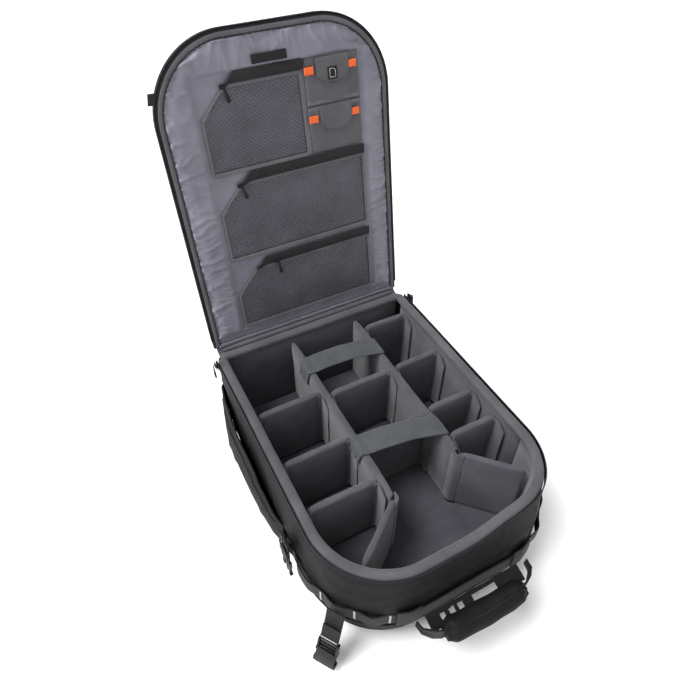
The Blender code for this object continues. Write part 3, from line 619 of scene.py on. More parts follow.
def board(low, high, thin, seed, cuts=13):
    """A foam board between two corners. It swells in its thin direction and is crisp at its top."""
    mesh = bmesh.new()
    bmesh.ops.create_cube(mesh, size=2.0)
    long = [edge for edge in mesh.edges if abs((edge.verts[0].co - edge.verts[1].co)[thin]) < 1]
    bmesh.ops.subdivide_edges(mesh, edges=long, cuts=cuts, use_grid_fill=True)
    short = [edge for edge in mesh.edges if abs((edge.verts[0].co - edge.verts[1].co)[thin]) > 1]
    bmesh.ops.subdivide_edges(mesh, edges=short, cuts=3, use_grid_fill=True)
    low, high = Vector(low), Vector(high)
    size = (high - low) / 2
    wide = 1 - thin
    for point in mesh.verts:
        share = point.co.copy()
        side, rise, deep = share[wide], share.z, share[thin]
        swell = 0.66 + 0.34 * (1 - abs(side) ** 6) * (1 - max(-rise, 0.0) ** 6)
        swell += 0.10 * ripple(side * 1.7 + seed, rise * 1.9, deep + seed)
        seam = math.exp(-((rise - 0.88) / 0.03) ** 2)
        swell -= 0.16 * seam * (1 if abs(deep) > 0.9 else 0.5)
        place = low + size + Vector([share[i] * size[i] for i in range(3)])
        place[thin] = (low + size)[thin] + deep * size[thin] * swell
        if rise > 0.99:
            place.z -= 0.0012 * deep ** 4 + 0.0012 * abs(ripple(side * 3, seed, 1.0))
            place.z -= 0.004 * abs(side) ** 16
        place[wide] -= math.copysign(0.0008 * abs(deep) ** 2 * abs(side) ** 20, side)
        point.co = place
    return mesh


def plump(piece, pressure, reach):
    """Lets a piece's cover swell like cloth over foam for a moment, no point further than reach."""
    rest = [point.co.copy() for point in piece.data.vertices]
    swell = piece.modifiers.new("swell", "CLOTH")
    swell.settings.use_pressure = True
    swell.settings.uniform_pressure_force = pressure
    swell.settings.effector_weights.gravity = 0.0
    swell.settings.quality = 5
    swell.settings.mass = 0.3
    for moment in range(1, 21):
        bpy.context.scene.frame_set(moment)
    seen = piece.evaluated_get(bpy.context.evaluated_depsgraph_get())
    moved = [point.co.copy() for point in seen.to_mesh().vertices]
    seen.to_mesh_clear()
    piece.modifiers.remove(swell)
    bpy.context.scene.frame_set(1)
    for point, old, new in zip(piece.data.vertices, rest, moved):
        step = new - old
        if step.length > reach:
            step *= reach / step.length
        point.co = old + step


def soften(piece):
    """One round of subdivision over the finished cover."""
    finer = piece.modifiers.new("finer", "SUBSURF")
    finer.levels = 1
    finer.render_levels = 1


def end_tab(x, y, toward):
    """The folded end of a short divider, which lies along the face it holds to by its hook tape."""
    def tab(u, v):
        run = 0.027 * u
        fold = 0.0030
        turn = min(max(run - 0.003, 0.0) / fold, math.pi / 2)
        past = max(run - 0.003 - fold * math.pi / 2, 0.0)
        across = -0.0045 + min(run, 0.003) + fold * math.sin(turn)
        forward = fold * (1 - math.cos(turn)) + past
        top = DIVIDER_HIGH - 0.004 - 0.009 * smooth(0.45, 1.0, u) - 0.002 * smooth(0.9, 1.0, u)
        height = DIVIDER_LOW + 0.004 + (top - DIVIDER_LOW - 0.004) * v
        lift = 0.0012 * ripple(u * 3, v * 5, x * 90) * u
        return Vector((x + toward * (across - 0.0026 - abs(lift)), y - 0.0044 - forward, height))
    return patch(16, 18, tab)


short_ones = [name for name in sorted(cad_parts) if name.startswith("cross_")]
for number, name in enumerate(short_ones):
    low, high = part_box(name)
    body = "divider_frame" if name == "cross_centre_2" else name
    middle = (low.y + high.y) / 2
    divider = board((low.x, low.y - 0.0004, low.z), (high.x, high.y + 0.0004, high.z), 1, number * 3.7)
    divider = finish("short_" + name[6:], divider, lining, body, (name,))
    plump(divider, BOARD_PRESSURE, 0.0013)
    soften(divider)
    for side, x, toward in (("l", low.x, -1), ("r", high.x, 1)):
        tab = finish(f"tab_{name[6:]}_{side}", end_tab(x, middle, toward), lining, body)
        thicken(tab, 0.0011, 0.0)

for side, x, crease_y, turn, length in (
    ("left", -0.045, -0.120, -math.radians(53.5), 0.1012),
    ("right", 0.072, -0.100, math.radians(43.5), 0.0939),
):
    low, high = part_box(f"divider_{side}")
    divider = finish(f"long_divider_{side}", board(low, high, 0, x * 40, 30), lining, "divider_frame",
                     (f"divider_{side}",))
    plump(divider, BOARD_PRESSURE, 0.0012)
    soften(divider)
    spot = Matrix.Translation((x, crease_y, 0)) @ Matrix.Rotation(turn, 4, "Z")
    wing = board((-0.0045, -length, DIVIDER_LOW), (0.0045, -0.0004, DIVIDER_HIGH), 0, x * 90, 14)
    wing = finish(f"wing_{side}", wing, lining, f"wing_{side}",
                  (f"divider_wing_{side}",), turn=spot)
    plump(wing, BOARD_PRESSURE, 0.0012)
    soften(wing)

    def hinge_cloth(u, v):
        """The cover's cloth round the outside of the crease, from the divider on to its wing."""
        bend = turn * smooth(0.25, 0.75, u)
        height = DIVIDER_LOW + 0.002 + (DIVIDER_HIGH - 0.003 - DIVIDER_LOW) * v
        radial = Matrix.Rotation(bend, 3, "Z") @ Vector((-math.copysign(1, turn) * 0.0050, 0, 0))
        along = Matrix.Rotation(bend, 3, "Z") @ Vector((0, -1, 0))
        return Vector((x, crease_y, height)) + radial * (1 - 0.3 * (u - 0.5) ** 2) + along * (u - 0.5) * 0.018

    cover = finish(f"crease_cloth_{side}", patch(14, 16, hinge_cloth), lining, None)
    thicken(cover, 0.0009, 0.0)
    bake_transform(cover)

# The two bridges: wide grey webbing sewn on top of the right divider. It arches over to the left
# one, wraps over its top, and hangs down its far side where the hook tape holds it.
bridge_cloth = cloth("grey_bridge_webbing", (0.064, 0.069, 0.075), 0.0016, 0.55, 0.72, 0.15, 0.12,
                     (0.092, 0.099, 0.106), lustre=0.2, ways="XY")


def bridge(left_y, right_y, drop, seed):
    left, right, width, top = -0.0495, 0.0765, 0.036, DIVIDER_HIGH

    def band(u, v):
        span = right - left
        total = 0.010 + span + drop
        run = u * total
        sag = 0.0011 * ripple(u * 7, v * 2.2, seed)
        if run < 0.010 + span:
            share = run / (0.010 + span)
            x = right + 0.0005 - (span + 0.0012) * share
            arch = math.sin(math.pi * min(max((share - 0.04) / 0.86, 0), 1)) ** 0.8
            height = top + 0.0013 + 0.0085 * arch + sag
            droop = 0.0022 * (2 * abs(v - 0.5)) ** 2.5 * arch
            y = right_y + (left_y - right_y) * share + width * (v - 0.5)
            return Vector((x, y, height - droop))
        past = run - 0.010 - span
        turn = min(past / 0.0035, math.pi / 2)
        down = max(past - 0.0035 * math.pi / 2, 0.0)
        slip = 0.006 * smooth(0.0, drop, past)
        flare = 0.0016 * abs(math.sin(v * 9 + seed)) * smooth(0.004, drop, past)
        x = left - 0.0007 - 0.0035 * math.sin(turn) - flare
        height = top + 0.0013 - 0.0035 * (1 - math.cos(turn)) - down
        return Vector((x + 0.0020, left_y + slip + width * (v - 0.5) * (1 - 0.06 * turn), height))
    return patch(80, 16, band)


def bar(mesh, size, spot, turn=0.0, axis="Y"):
    """A block of that size, turned about an axis and put in its place. Gives its points."""
    made = bmesh.ops.create_cube(mesh, size=1.0)["verts"]
    bmesh.ops.scale(mesh, vec=size, verts=made)
    if turn:
        bmesh.ops.rotate(mesh, matrix=Matrix.Rotation(turn, 3, axis), verts=made)
    bmesh.ops.translate(mesh, vec=spot, verts=made)
    return made


for name, node, left_y, right_y, drop in (
    ("rear_bridge", "bridge_rear", 0.146, 0.132, 0.034),
    ("front_bridge", "bridge_front", -0.026, -0.050, 0.030),
):
    piece = finish(name, bridge(left_y, right_y, drop, right_y * 50), bridge_cloth, "divider_frame",
                   (node,))
    thicken(piece, 0.0016, 0.0)
    rows = bmesh.new()
    for offset in (-0.0155, 0.0155):
        for number in range(5):
            spot = (0.0755 - number * 0.0016, right_y + offset, DIVIDER_HIGH + 0.0024)
            bar(rows, (0.0006, 0.0006, 0.0004), spot)
    finish(name + "_stitches", rows, thread, "divider_frame")

# The lid is the backpack's back panel. Everything on it is laid out flat, as when the bag is shut,
# and then swung open about the fold. The satin lining is gathered into its seam all round.
HINGE = Vector((0, 0.230, 0.1822))
SEAT = 0.1862
OPEN = math.radians(-100)
swing = Matrix.Translation(HINGE) @ Matrix.Rotation(OPEN, 4, "X") @ Matrix.Translation(-HINGE)
satin = cloth("satin_lining", (0.155, 0.155, 0.196), 0.0011, 0.16, 0.36, 0.25, 0.09, (0.205, 0.205, 0.255),
              turn=-OPEN, lustre=0.5, ways="XY")
LID_EDGE, SEAM = 0.003, 0.0132


def lid_at(x, along, out=0.0):
    """A point in the shut lid: along runs from the hinge, out is towards the wearer's back."""
    return Vector((x, HINGE.y - along, SEAT + out))


def half_width_at(along, inset):
    """Half the lid's width inside that inset, at that distance from the hinge."""
    bend = 0.347
    if along < bend:
        return HALF_WIDTH - inset
    radius = BIG_RADIUS - inset
    return HALF_WIDTH - BIG_RADIUS + math.sqrt(max(radius ** 2 - (along - bend) ** 2, 0.0))


def folds(place):
    """Gathers: sharp little crests with flat troughs between them."""
    return 1.2 * (1 - abs(noise.noise(place)) * 2.6) ** 3 - 0.5


def satin_point(u, v):
    low, high = 0.0085, 0.455 - SEAM - 0.0002
    along = low + (high - low) * (v if v < 0.75 else 0.75 + 0.25 * math.sin((v - 0.75) * 2 * math.pi))
    x = half_width_at(along, SEAM) * (2 * u - 1)
    side = half_width_at(along, SEAM) - abs(x)
    end = min(high - along, 0.5 * (along - low) + 0.004)
    near = min(side, end)
    warp = 0.010 * ripple(x * 30, along * 30, 11.0)
    across = folds(Vector((x * 9, (along + warp) * 52, 1.0)))
    across += 0.6 * folds(Vector((x * 20, along * 110, 3.0)))
    down = folds(Vector(((x + warp) * 30, along * 12, 5.0))) + 0.4 * folds(Vector((x * 66, along * 18, 7.0)))
    down *= 0.75 if along > 0.2 else 0.3
    share = smooth(-0.012, 0.012, side - end)
    gather = (across * (1 - share) + down * share) * (0.0040 * math.exp(-near / 0.012) + 0.0011)
    gather += 0.0012 * ripple(x * 26, along * 16, 13.0)
    crown = 0.0024 * smooth(0.0, 0.018, near)
    inside_pockets = smooth(-0.006, 0.004, min(x + 0.116, 0.130 - x, 0.402 - along, along - 0.024))
    lift = (0.0022 + crown + gather) * (1 - inside_pockets) + 0.0004 * inside_pockets
    hold = smooth(0.0, 0.003, near) * smooth(0.0170, 0.0250, along)
    return lid_at(x, along, 0.0012 - max(lift, 0.0) * hold)


lining_sheet = finish("satin_lining", patch(170, 230, satin_point), satin, "lid",
                      ("lid_lining",), turn=swing, outward=False)
thicken(lining_sheet, 0.0005)

# A band of grey cloth lies between the satin and the lid's edge. The seam that joins them is a
# dark puckered cord.
band_cloth = cloth("grey_band_cloth", (0.095, 0.097, 0.105), 0.0012, 0.35, 0.8, 0.2, 0.12,
                   (0.125, 0.128, 0.138), turn=-OPEN, ways="XY")
puckered = cloth("dark_seam", (0.018, 0.018, 0.022), 0.0016, 0.6, 0.7, 0.1, 0.2, turn=-OPEN)


def band_point(u, v):
    along = -0.012 + (WHOLE_RUN + 0.024) * u
    inset = 0.0062 + (SEAM - 0.0070) * v
    pucker = 0.0006 * ripple(along * 150, v * 3, 0.0) * v
    dome = 0.0011 * math.sin(math.pi * (0.15 + 0.8 * v))
    return on_rim(along, -inset, SEAT + 0.0016 - dome - pucker * 0.5)


band = finish("grey_band", patch(420, 8, band_point), band_cloth, "lid", turn=swing,
              outward=False)
thicken(band, 0.0007)


def seam_path(u):
    along = -0.010 + (WHOLE_RUN + 0.020) * u
    weave = 0.0006 * ripple(along * 130, 0, 0)
    outward = walk(along)[1]
    return on_rim(along, weave - SEAM, SEAT + 0.0007), outward, UPWARD


cord = tube(520, lambda u: 0.0010 + 0.0003 * math.sin(u * 900), seam_path, 8)
finish("lid_seam", cord, puckered, "lid", turn=swing)


def foot_band(u, v):
    """The satin's own straight edge, which is turned in along the hinge."""
    pucker = 0.0005 * ripple(u * 60, v * 3, 3.0)
    return lid_at(0.1605 * (2 * u - 1), 0.0025 + 0.0075 * v, 0.0010 - 0.0012 * math.sin(math.pi * v) - pucker)


foot = finish("satin_foot", patch(90, 6, foot_band), satin, "lid", turn=swing, outward=False)
thicken(foot, 0.0007)

# The lid's edge: the panel's foam and both its cloths wrapped in black binding, with the other
# half of the main zip sewn outside it.
edging = cloth("black_edging", (0.0085, 0.0085, 0.0095), 0.0011, 0.4, 0.55, 0.02, 0.12, turn=-OPEN,
               lustre=0.17)


def edge_point(u, v):
    along = -0.012 + (WHOLE_RUN + 0.024) * u
    turn = 2 * math.pi * v
    across = boxy(math.cos(turn), 0.7) * 0.0024
    rise = boxy(math.sin(turn), 0.6) * 0.0061
    wave = 0.0004 * ripple(along * 25, 0, 8.0)
    return on_rim(along, across + wave - LID_EDGE - 0.0021, SEAT + 0.0061 + rise)


finish("lid_edging", patch(320, 18, edge_point), edging, "lid", ("lid_binding",), turn=swing)


def lid_tape(u, v):
    return on_rim(WHOLE_RUN * u, 0.0003 - LID_EDGE, SEAT + 0.0012 + 0.0095 * v)


tape = finish("lid_zip_tape", patch(280, 4, lid_tape), zip_tape, "lid", ("zip_chain_lid",),
              turn=swing, outward=False)
thicken(tape, 0.0008, 1.0)
teeth = coil_teeth(ZIP_TEETH, tooth_line(0.0009 - LID_EDGE, SEAT + 0.0012))
finish("lid_zip_coil", teeth, coil, "lid", turn=swing)

# The lid's outer cloth: black nylon drawn over the foam, a little crowned.
levels = ((0.0095, SEAT + 0.0033), (0.0095, SEAT + 0.0095), (0.014, SEAT + 0.0108), (0.03, SEAT + 0.0112))
outer = finish("lid_outer_cloth", slab(levels), nylon, "lid", ("lid_panel",), turn=swing)

# The gusset at the hinge: the wall's top and the lid's foot are one strip of lining cloth with black
# nylon behind it, folded where the lid opens. It is built in the open pose only and hangs on no body.


def gusset(u, v, behind=0.0):
    x = (0.1650 + behind) * (2 * u - 1)
    turn = OPEN * smooth(0.35, 0.65, v)
    if v < 0.5:
        point = Vector((0, 0.2180 + 0.0105 * (v / 0.5), 0.1800 - behind - 0.0006 * math.sin(math.pi * v)))
    else:
        point = Vector((0, HINGE.y - 0.0115 * (v - 0.5) / 0.5, SEAT + 0.0010 + behind))
        point = HINGE + Matrix.Rotation(OPEN, 3, "X") @ (point - HINGE)
    pucker = 0.0005 * ripple(x * 60, v * 4, turn)
    return Vector((x, point.y + pucker, point.z + pucker))


for name, face, slot, behind in (
    ("hinge_gusset", lining, "foam_lining", 0.0),
    ("hinge_gusset_back", nylon, "nylon", 0.0009),
):
    strip = finish(name, patch(120, 14, lambda u, v: gusset(u, v, behind)), face, None, outward=False)
    thicken(strip, 0.0006, 0.0)
    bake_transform(strip)

# Three mesh pockets. The net is knitted with open holes, slack over the satin, and bound in grey
# tape. Each has a charcoal zip flap along its top and a slanted corner at the slider's end.
net = cloth("pocket_net", (0.060, 0.060, 0.066), 0.0009, 0.3, 0.7, 0.1, 0.1, turn=-OPEN, ways="XY")
net_tape = cloth("net_tape", (0.118, 0.120, 0.128), 0.0013, 0.4, 0.8, 0.2, 0.12, turn=-OPEN, ways="XY")
flap_cloth = cloth("zip_flap", (0.0165, 0.0165, 0.018), 0.0013, 0.4, 0.6, 0.05, 0.12, turn=-OPEN,
                   lustre=0.2, ways="XY")
LEFT_EDGE, RIGHT_EDGE = -0.113, 0.122
FACE = 0.0004


def net_panel(left, right_side, bottom, top, cut, seed):
    """A knitted net cut to its pocket's outline, every hole open."""
    mesh = bmesh.new()
    wide, tall = right_side - left, top - bottom
    reach = (wide + tall) / 1.4
    cells = int(reach / 0.0040)
    bmesh.ops.create_grid(mesh, x_segments=cells, y_segments=cells, size=reach / 2)
    bmesh.ops.rotate(mesh, verts=mesh.verts, matrix=Matrix.Rotation(math.pi / 4, 3, "Z"))
    bmesh.ops.scale(mesh, verts=mesh.verts, vec=(1.12, 0.92, 1))
    bmesh.ops.translate(mesh, verts=mesh.verts, vec=(left + wide / 2, bottom + tall / 2, 0))
    for point, away in (
        ((left, 0, 0), (-1, 0, 0)),
        ((right_side, 0, 0), (1, 0, 0)),
        ((0, bottom, 0), (0, -1, 0)),
        ((0, top, 0), (0, 1, 0)),
        ((left + cut / 2, top - cut / 2, 0), (-1, 1, 0)),
    ):
        bmesh.ops.bisect_plane(mesh, geom=mesh.verts[:] + mesh.edges[:] + mesh.faces[:], dist=1e-6,
                               plane_co=point, plane_no=away, clear_outer=True)
    bmesh.ops.wireframe(mesh, faces=mesh.faces, thickness=0.00105, use_replace=True, use_even_offset=False)
    for point in mesh.verts:
        x, along, deep = point.co
        edge = min(x - left, right_side - x, along - bottom, top - along)
        slack = 0.0030 * smooth(0.0, 0.040, edge)
        slack += 0.0022 * ripple(x * 22, along * 17, seed) * smooth(0.004, 0.022, edge)
        point.co = lid_at(x, along, FACE - 0.0016 - slack + deep)
    return mesh


def tape_run(points, width, depth, cloth_out):
    """Flat tape along a line of corners in the lid, crowned a little between its edges."""
    lengths = [(b - a).length for a, b in zip(points, points[1:])]
    whole = sum(lengths)

    def tape_at(u, v):
        run = u * whole
        for start, end, length in zip(points, points[1:], lengths):
            if run <= length or end is points[-1]:
                share = min(run / length, 1.0)
                break
            run -= length
        direction = (end - start).normalized()
        point = start.lerp(end, share)
        side = Vector((-direction.y, direction.x))
        turn = 2 * math.pi * v
        flat = boxy(math.cos(turn), 0.5) * width / 2
        rise = boxy(math.sin(turn), 0.7) * depth / 2
        spot = point + side * flat
        return lid_at(spot.x, spot.y, cloth_out - depth / 2 + rise)
    return patch(int(whole / 0.004), 12, tape_at)


def slider_pull(x, along, hang, length):
    """A small zip slider with its two wings, and a moulded pull on a short cord that hangs down."""
    mesh = bmesh.new()
    top = FACE - 0.0046

    def grip(u, v):
        turn = 2 * math.pi * v
        end = (1 - abs(2 * u - 1) ** 10) ** 0.5
        wide = (0.0017 + 0.0014 * smooth(0.35, 0.8, u)) * end
        deep = (0.0007 + 0.0005 * u) * end
        return Vector((0.0022 + length * u, wide * math.cos(turn), -0.0028 + deep * math.sin(turn)))

    patch(22, 14, grip, mesh)
    bmesh.ops.rotate(mesh, cent=(0.001, 0, -0.0028), matrix=Matrix.Rotation(hang, 3, "Z"), verts=mesh.verts)
    blocks = []
    for size, spot in (
        ((0.0085, 0.0056, 0.0016), (0, 0, 0.0003)),
        ((0.0075, 0.0024, 0.0030), (0, 0, -0.0011)),
        ((0.0030, 0.0036, 0.0012), (0.0012, 0, -0.0026)),
    ):
        blocks += bar(mesh, size, spot)
    edges = list({edge for point in blocks for edge in point.link_edges})
    bmesh.ops.bevel(mesh, geom=edges, offset=0.0005, segments=2, profile=0.5, affect="EDGES", material=-1)
    bmesh.ops.translate(mesh, vec=lid_at(x, along, top), verts=mesh.verts)
    return mesh


black_metal = plain("black_metal", (0.018, 0.018, 0.02), {"Metallic": 0.75})
metal_links = black_metal.node_tree.links
metal_place = add_node(black_metal, "TexCoord")
wear = add_node(black_metal, "TexNoise", {"Scale": 900.0})
wear_range = add_node(black_metal, "MapRange", {"To Min": 0.28, "To Max": 0.5})
metal_links.new(metal_place.outputs["Object"], wear.inputs["Vector"])
metal_links.new(wear.outputs["Fac"], wear_range.inputs["Value"])
metal_links.new(wear_range.outputs["Result"],
                black_metal.node_tree.nodes["Principled BSDF"].inputs["Roughness"])

for number, (name, zip_left, zip_right, height, bottom, right_side, slider) in enumerate((
    ("upper", -0.070, 0.037, 0.3965, 0.274, 0.035, (-0.0765, 0.3870, 1.35)),
    ("middle", -0.064, 0.122, 0.2665, 0.144, 0.122, (-0.0775, 0.2560, 1.30)),
    ("lower", -0.069, 0.122, 0.1325, 0.026, 0.122, (-0.0420, 0.1265, 1.45)),
)):
    top = height - 0.0075
    cut = 0.040
    knit = net_panel(LEFT_EDGE + 0.002, right_side - 0.001, bottom + 0.002, top - 0.002, cut, number * 5.0)
    finish(f"net_{name}", knit, net, "lid", (f"mesh_pocket_{name}",), turn=swing, weld=1e-6,
           outward=False)
    corners = [Vector(p) for p in (
        (right_side - 0.002, top), (LEFT_EDGE + cut + 0.002, top), (LEFT_EDGE + 0.003, top - cut),
        (LEFT_EDGE + 0.003, bottom + 0.002), (right_side - 0.002, bottom + 0.002), (right_side - 0.002, top))]
    for side, width in enumerate((0.0085, 0.0050, 0.0030, 0.0065, 0.0040)):
        strip = tape_run(corners[side:side + 2], width, 0.0016, FACE - 0.0008)
        finish(f"net_tape_{name}_{side}", strip, net_tape, "lid", turn=swing)

    def flap_point(u, v):
        """The flap over the zip: its left end is cut in line with the net's slanted corner."""
        high_end, low_end = LEFT_EDGE + cut + 0.0140, LEFT_EDGE + cut - 0.0045
        upper = Vector((zip_right + (high_end - zip_right) * u, height + 0.0062))
        lower = Vector((zip_right + (low_end - zip_right) * u, height - 0.0060 - 0.0055 * smooth(0.86, 1, u)))
        spot = upper.lerp(lower, v)
        lift = 0.0009 * math.sin(math.pi * v) + 0.0006 * ripple(u * 9, v * 2, height * 50)
        return lid_at(spot.x, spot.y, FACE - 0.0026 - lift)

    flap = finish(f"zip_flap_{name}", patch(90, 8, flap_point), flap_cloth, "lid",
                  (f"pocket_zip_{name}",), turn=swing, outward=False)
    thicken(flap, 0.0011, 1.0)

    def pocket_tooth(share):
        x = zip_right + (LEFT_EDGE + cut - 0.005 - zip_right) * share
        return lid_at(x, height - 0.0068, FACE - 0.0034), Vector((1, 0, 0)), Vector((0, 1, 0))

    teeth = coil_teeth(int((zip_right - zip_left) / 0.0022), pocket_tooth)
    finish(f"pocket_coil_{name}", teeth, coil, "lid", turn=swing)
    x, along, hang = slider
    finish(f"pocket_pull_{name}", slider_pull(x, along, hang, 0.019), black_metal, f"pocket_slider_{name}",
           (f"pocket_slider_{name}",), turn=swing)

# Two memory card pockets of thicker grey cloth, each with a round flap on hook tape, held at
# both sides by folded orange tabs. The upper flap has a woven badge with a plain card sign.
card_cloth = cloth("card_cloth", (0.094, 0.092, 0.101), 0.0014, 0.4, 0.82, 0.2, 0.12, (0.120, 0.118, 0.128),
                   turn=-OPEN, ways="XY")
orange = cloth("orange_tape", (0.90, 0.125, 0.018), 0.0014, 0.6, 0.6, 0.1, 0.10, (0.95, 0.17, 0.03),
               turn=-OPEN, ways="XY")
badge_black = cloth("woven_badge", (0.008, 0.008, 0.009), 0.0008, 0.35, 0.7, 0.1, 0.1, turn=-OPEN)
badge_grey = cloth("badge_thread", (0.34, 0.34, 0.35), 0.0006, 0.3, 0.7, 0.1, 0.1, turn=-OPEN)


def lid_block(x, along, wide, tall, out, deep, seed=0.0, waves=0.0, bow=0.0):
    """A flat cloth piece in the lid with rounded edges, a little uneven."""
    def point_at(u, v):
        turn = 2 * math.pi * v
        px = x + wide * (u - 0.5)
        flat = boxy(math.cos(turn), 0.35) * tall / 2
        rise = boxy(math.sin(turn), 0.6) * deep / 2
        close = 1 - abs(2 * u - 1) ** 24
        lift = waves * ripple(px * 40, flat * 40, seed) + bow * math.cos(math.pi * (u - 0.5))
        return lid_at(px, along + flat, out - deep / 2 + rise * close - lift)
    return patch(28, 24, point_at)


for name, top, bottom, badge in (("upper", 0.402, 0.3395, True), ("lower", 0.3385, 0.2755, False)):
    middle_x, middle_s = (0.039 + RIGHT_EDGE) / 2, (top + bottom) / 2
    piece = lid_block(middle_x, middle_s, 0.0825, top - bottom, FACE, 0.0022, middle_s * 90, 0.0012, 0.0010)
    finish(f"card_pocket_{name}_cloth", piece, card_cloth, "lid", (f"card_pocket_{name}",),
           turn=swing)
    hem_line = bottom + 0.004 if badge else top - 0.0035
    hem = lid_block(middle_x, hem_line, 0.083, 0.005, FACE - 0.0016, 0.0016)
    finish(f"card_hem_{name}", hem, net_tape, "lid", turn=swing)

    def flap_point(u, v):
        turn = math.pi * u
        hinge_line = top - 0.002
        outer = Vector((middle_x + 0.0245 * math.cos(turn), hinge_line - 0.0235 - 0.0125 * math.sin(turn)))
        inner = Vector((middle_x + 0.0245 * math.cos(turn), hinge_line))
        spot = inner.lerp(outer, v)
        lift = 0.0010 * math.sin(math.pi * min(v * 1.1, 1)) + 0.0005 * ripple(u * 3, v * 3, top * 50)
        return lid_at(spot.x, spot.y, FACE - 0.0042 - lift)

    body = f"card_flap_{name}"
    flap = finish(f"card_flap_{name}_cloth", patch(36, 16, flap_point), card_cloth, body,
                  (body,), turn=swing, outward=False)
    thicken(flap, 0.0013, 0.0)

    def hem_path(u):
        turn = math.pi * u
        drop = top - 0.0255 - 0.0125 * math.sin(turn) * 0.93
        point = lid_at(middle_x + 0.0232 * math.cos(turn), drop + 0.0008, FACE - 0.0052)
        return point, Vector((0, 1, 0)), UPWARD

    finish(f"flap_seam_{name}", tube(40, 0.0006, hem_path, 6), thread, body, turn=swing)
    for side, x in (("l", 0.0455), ("r", 0.1105)):
        tab = lid_block(x, top - 0.0165, 0.0140, 0.0098, FACE - 0.0030, 0.0026, x * 300, 0.0006)
        finish(f"orange_tab_{name}_{side}", tab, orange, "lid", turn=swing)
    if badge:
        x, along = middle_x - 0.001, top - 0.0235
        finish("card_badge", lid_block(x, along, 0.0145, 0.0165, FACE - 0.0058, 0.0008), badge_black, body,
               turn=swing)
        sign = bmesh.new()
        for shift, drop, wide, tall, turn in (
            (-0.0042, 0, 0.0009, 0.011, 0),
            (0.0042, -0.001, 0.0009, 0.009, 0),
            (0, -0.0054, 0.0093, 0.0009, 0),
            (-0.0012, 0.0054, 0.0068, 0.0009, 0),
            (0.0032, 0.0044, 0.0027, 0.0009, math.radians(45)),
        ):
            bar(sign, (wide, tall, 0.0004), lid_at(x + shift, along + drop, FACE - 0.0068), turn, "Z")
        finish("card_sign", sign, badge_grey, body, turn=swing)

label = lid_block(-0.0085, 0.4125, 0.050, 0.0115, FACE - 0.0052, 0.0011, 3.0, 0.0003)
finish("plain_label", label, badge_black, "lid", turn=swing)

# A short black webbing tab sewn into the lid's left edge, to pull the lid open by.


def edge_tab(u, v):
    fold = 0.0042 * math.sin(math.pi * v) * (1 - 0.3 * u)
    reach = half_width_at(0.386, 0.0050) + 0.0100 * math.sin(math.pi * v) - 0.003 * (u - 0.5)
    return lid_at(-reach, 0.379 + 0.014 * u, 0.0035 + 0.003 * v + fold)


tab = finish("lid_edge_tab", patch(8, 14, edge_tab), edging, "lid", turn=swing, outward=False)
thicken(tab, 0.0013, 0.0)

# The harness on the lid's outer face: two tall cushions with an air channel between them, under
# black air mesh, and two shaped shoulder straps with webbing sewn down them.
air_mesh = cloth("air_mesh", (0.014, 0.014, 0.0155), 0.0034, 0.9, 0.8, 0.08, 0.2, turn=-OPEN, lustre=0.12)


def back_point(u, v):
    low, high, half, deep = 0.047, 0.393, 0.109, 0.0096
    x, along = half * (2 * u - 1), low + (high - low) * v
    edge = min(half - abs(x), along - low, high - along)
    groove = 1 - 0.8 * math.exp(-(x / 0.008) ** 2)
    for line in (0.155, 0.275):
        groove *= 1 - 0.65 * math.exp(-((along - line) / 0.0055) ** 2)
    rise = deep * smooth(-0.004, 0.012, edge) ** 0.6 * groove
    rise += 0.0004 * ripple(x * 30, along * 30, 2.0)
    return lid_at(x, along, 0.0122 + rise)


cushions = patch(80, 110, back_point)
border = [edge for edge in cushions.edges if edge.is_boundary]
for item in bmesh.ops.extrude_edge_only(cushions, edges=border)["geom"]:
    if isinstance(item, bmesh.types.BMVert):
        item.co.z = SEAT + 0.0118
bmesh.ops.holes_fill(cushions, edges=[edge for edge in cushions.edges if edge.is_boundary])
cushions = finish("back_cushions", cushions, air_mesh, "lid", ("back_pad",), turn=swing)
plump(cushions, 1.5, 0.0008)


def strap_middle(share):
    bow = math.sin(math.pi * share * 0.62) ** 1.5
    return 0.058 + 0.045 * bow, 0.385 - 0.335 * share, 0.029 * (1 - 0.8 * max(0.0, share - 0.45))


for side, sign in (("left", -1), ("right", 1)):
    def strap_point(u, v):
        x, along, half = strap_middle(u)
        turn = 2 * math.pi * v
        end = 1 - abs(2 * u - 1) ** 18
        across = boxy(math.cos(turn), 0.6) * half * (0.9 + 0.1 * end)
        rise = boxy(math.sin(turn), 0.7) * 0.0056 * (0.45 + 0.55 * end)
        rise += 0.0005 * ripple(u * 14, v * 6, sign)
        return lid_at(sign * x + across, along, 0.0298 + rise)
    strap = finish(f"shoulder_strap_{side}_pad", patch(90, 28, strap_point), nylon, "lid",
                   (f"shoulder_strap_{side}",), turn=swing)
    plump(strap, 1.5, 0.0010)
    for edge, name in ((-0.93, "in"), (0.93, "out")):
        def binding(u):
            x, along, half = strap_middle(0.01 + 0.98 * u)
            return lid_at(sign * (x + half * edge * 1.03), along, 0.0298), Vector((1, 0, 0)), UPWARD
        bound = tube(90, 0.0016, binding, 8)
        finish(f"strap_binding_{side}_{name}", bound, piping, "lid", turn=swing)

    def strap_web(u, v):
        x, along, half = strap_middle(0.03 + 0.92 * u)
        lift = 0.0011 * math.sin(u * 40) ** 2
        return lid_at(sign * x + 0.0125 * (2 * v - 1), along, 0.0366 + lift)

    web = finish(f"strap_webbing_{side}", patch(90, 8, strap_web), piping, "lid", turn=swing,
                 outward=False)
    thicken(web, 0.0014, 1.0)

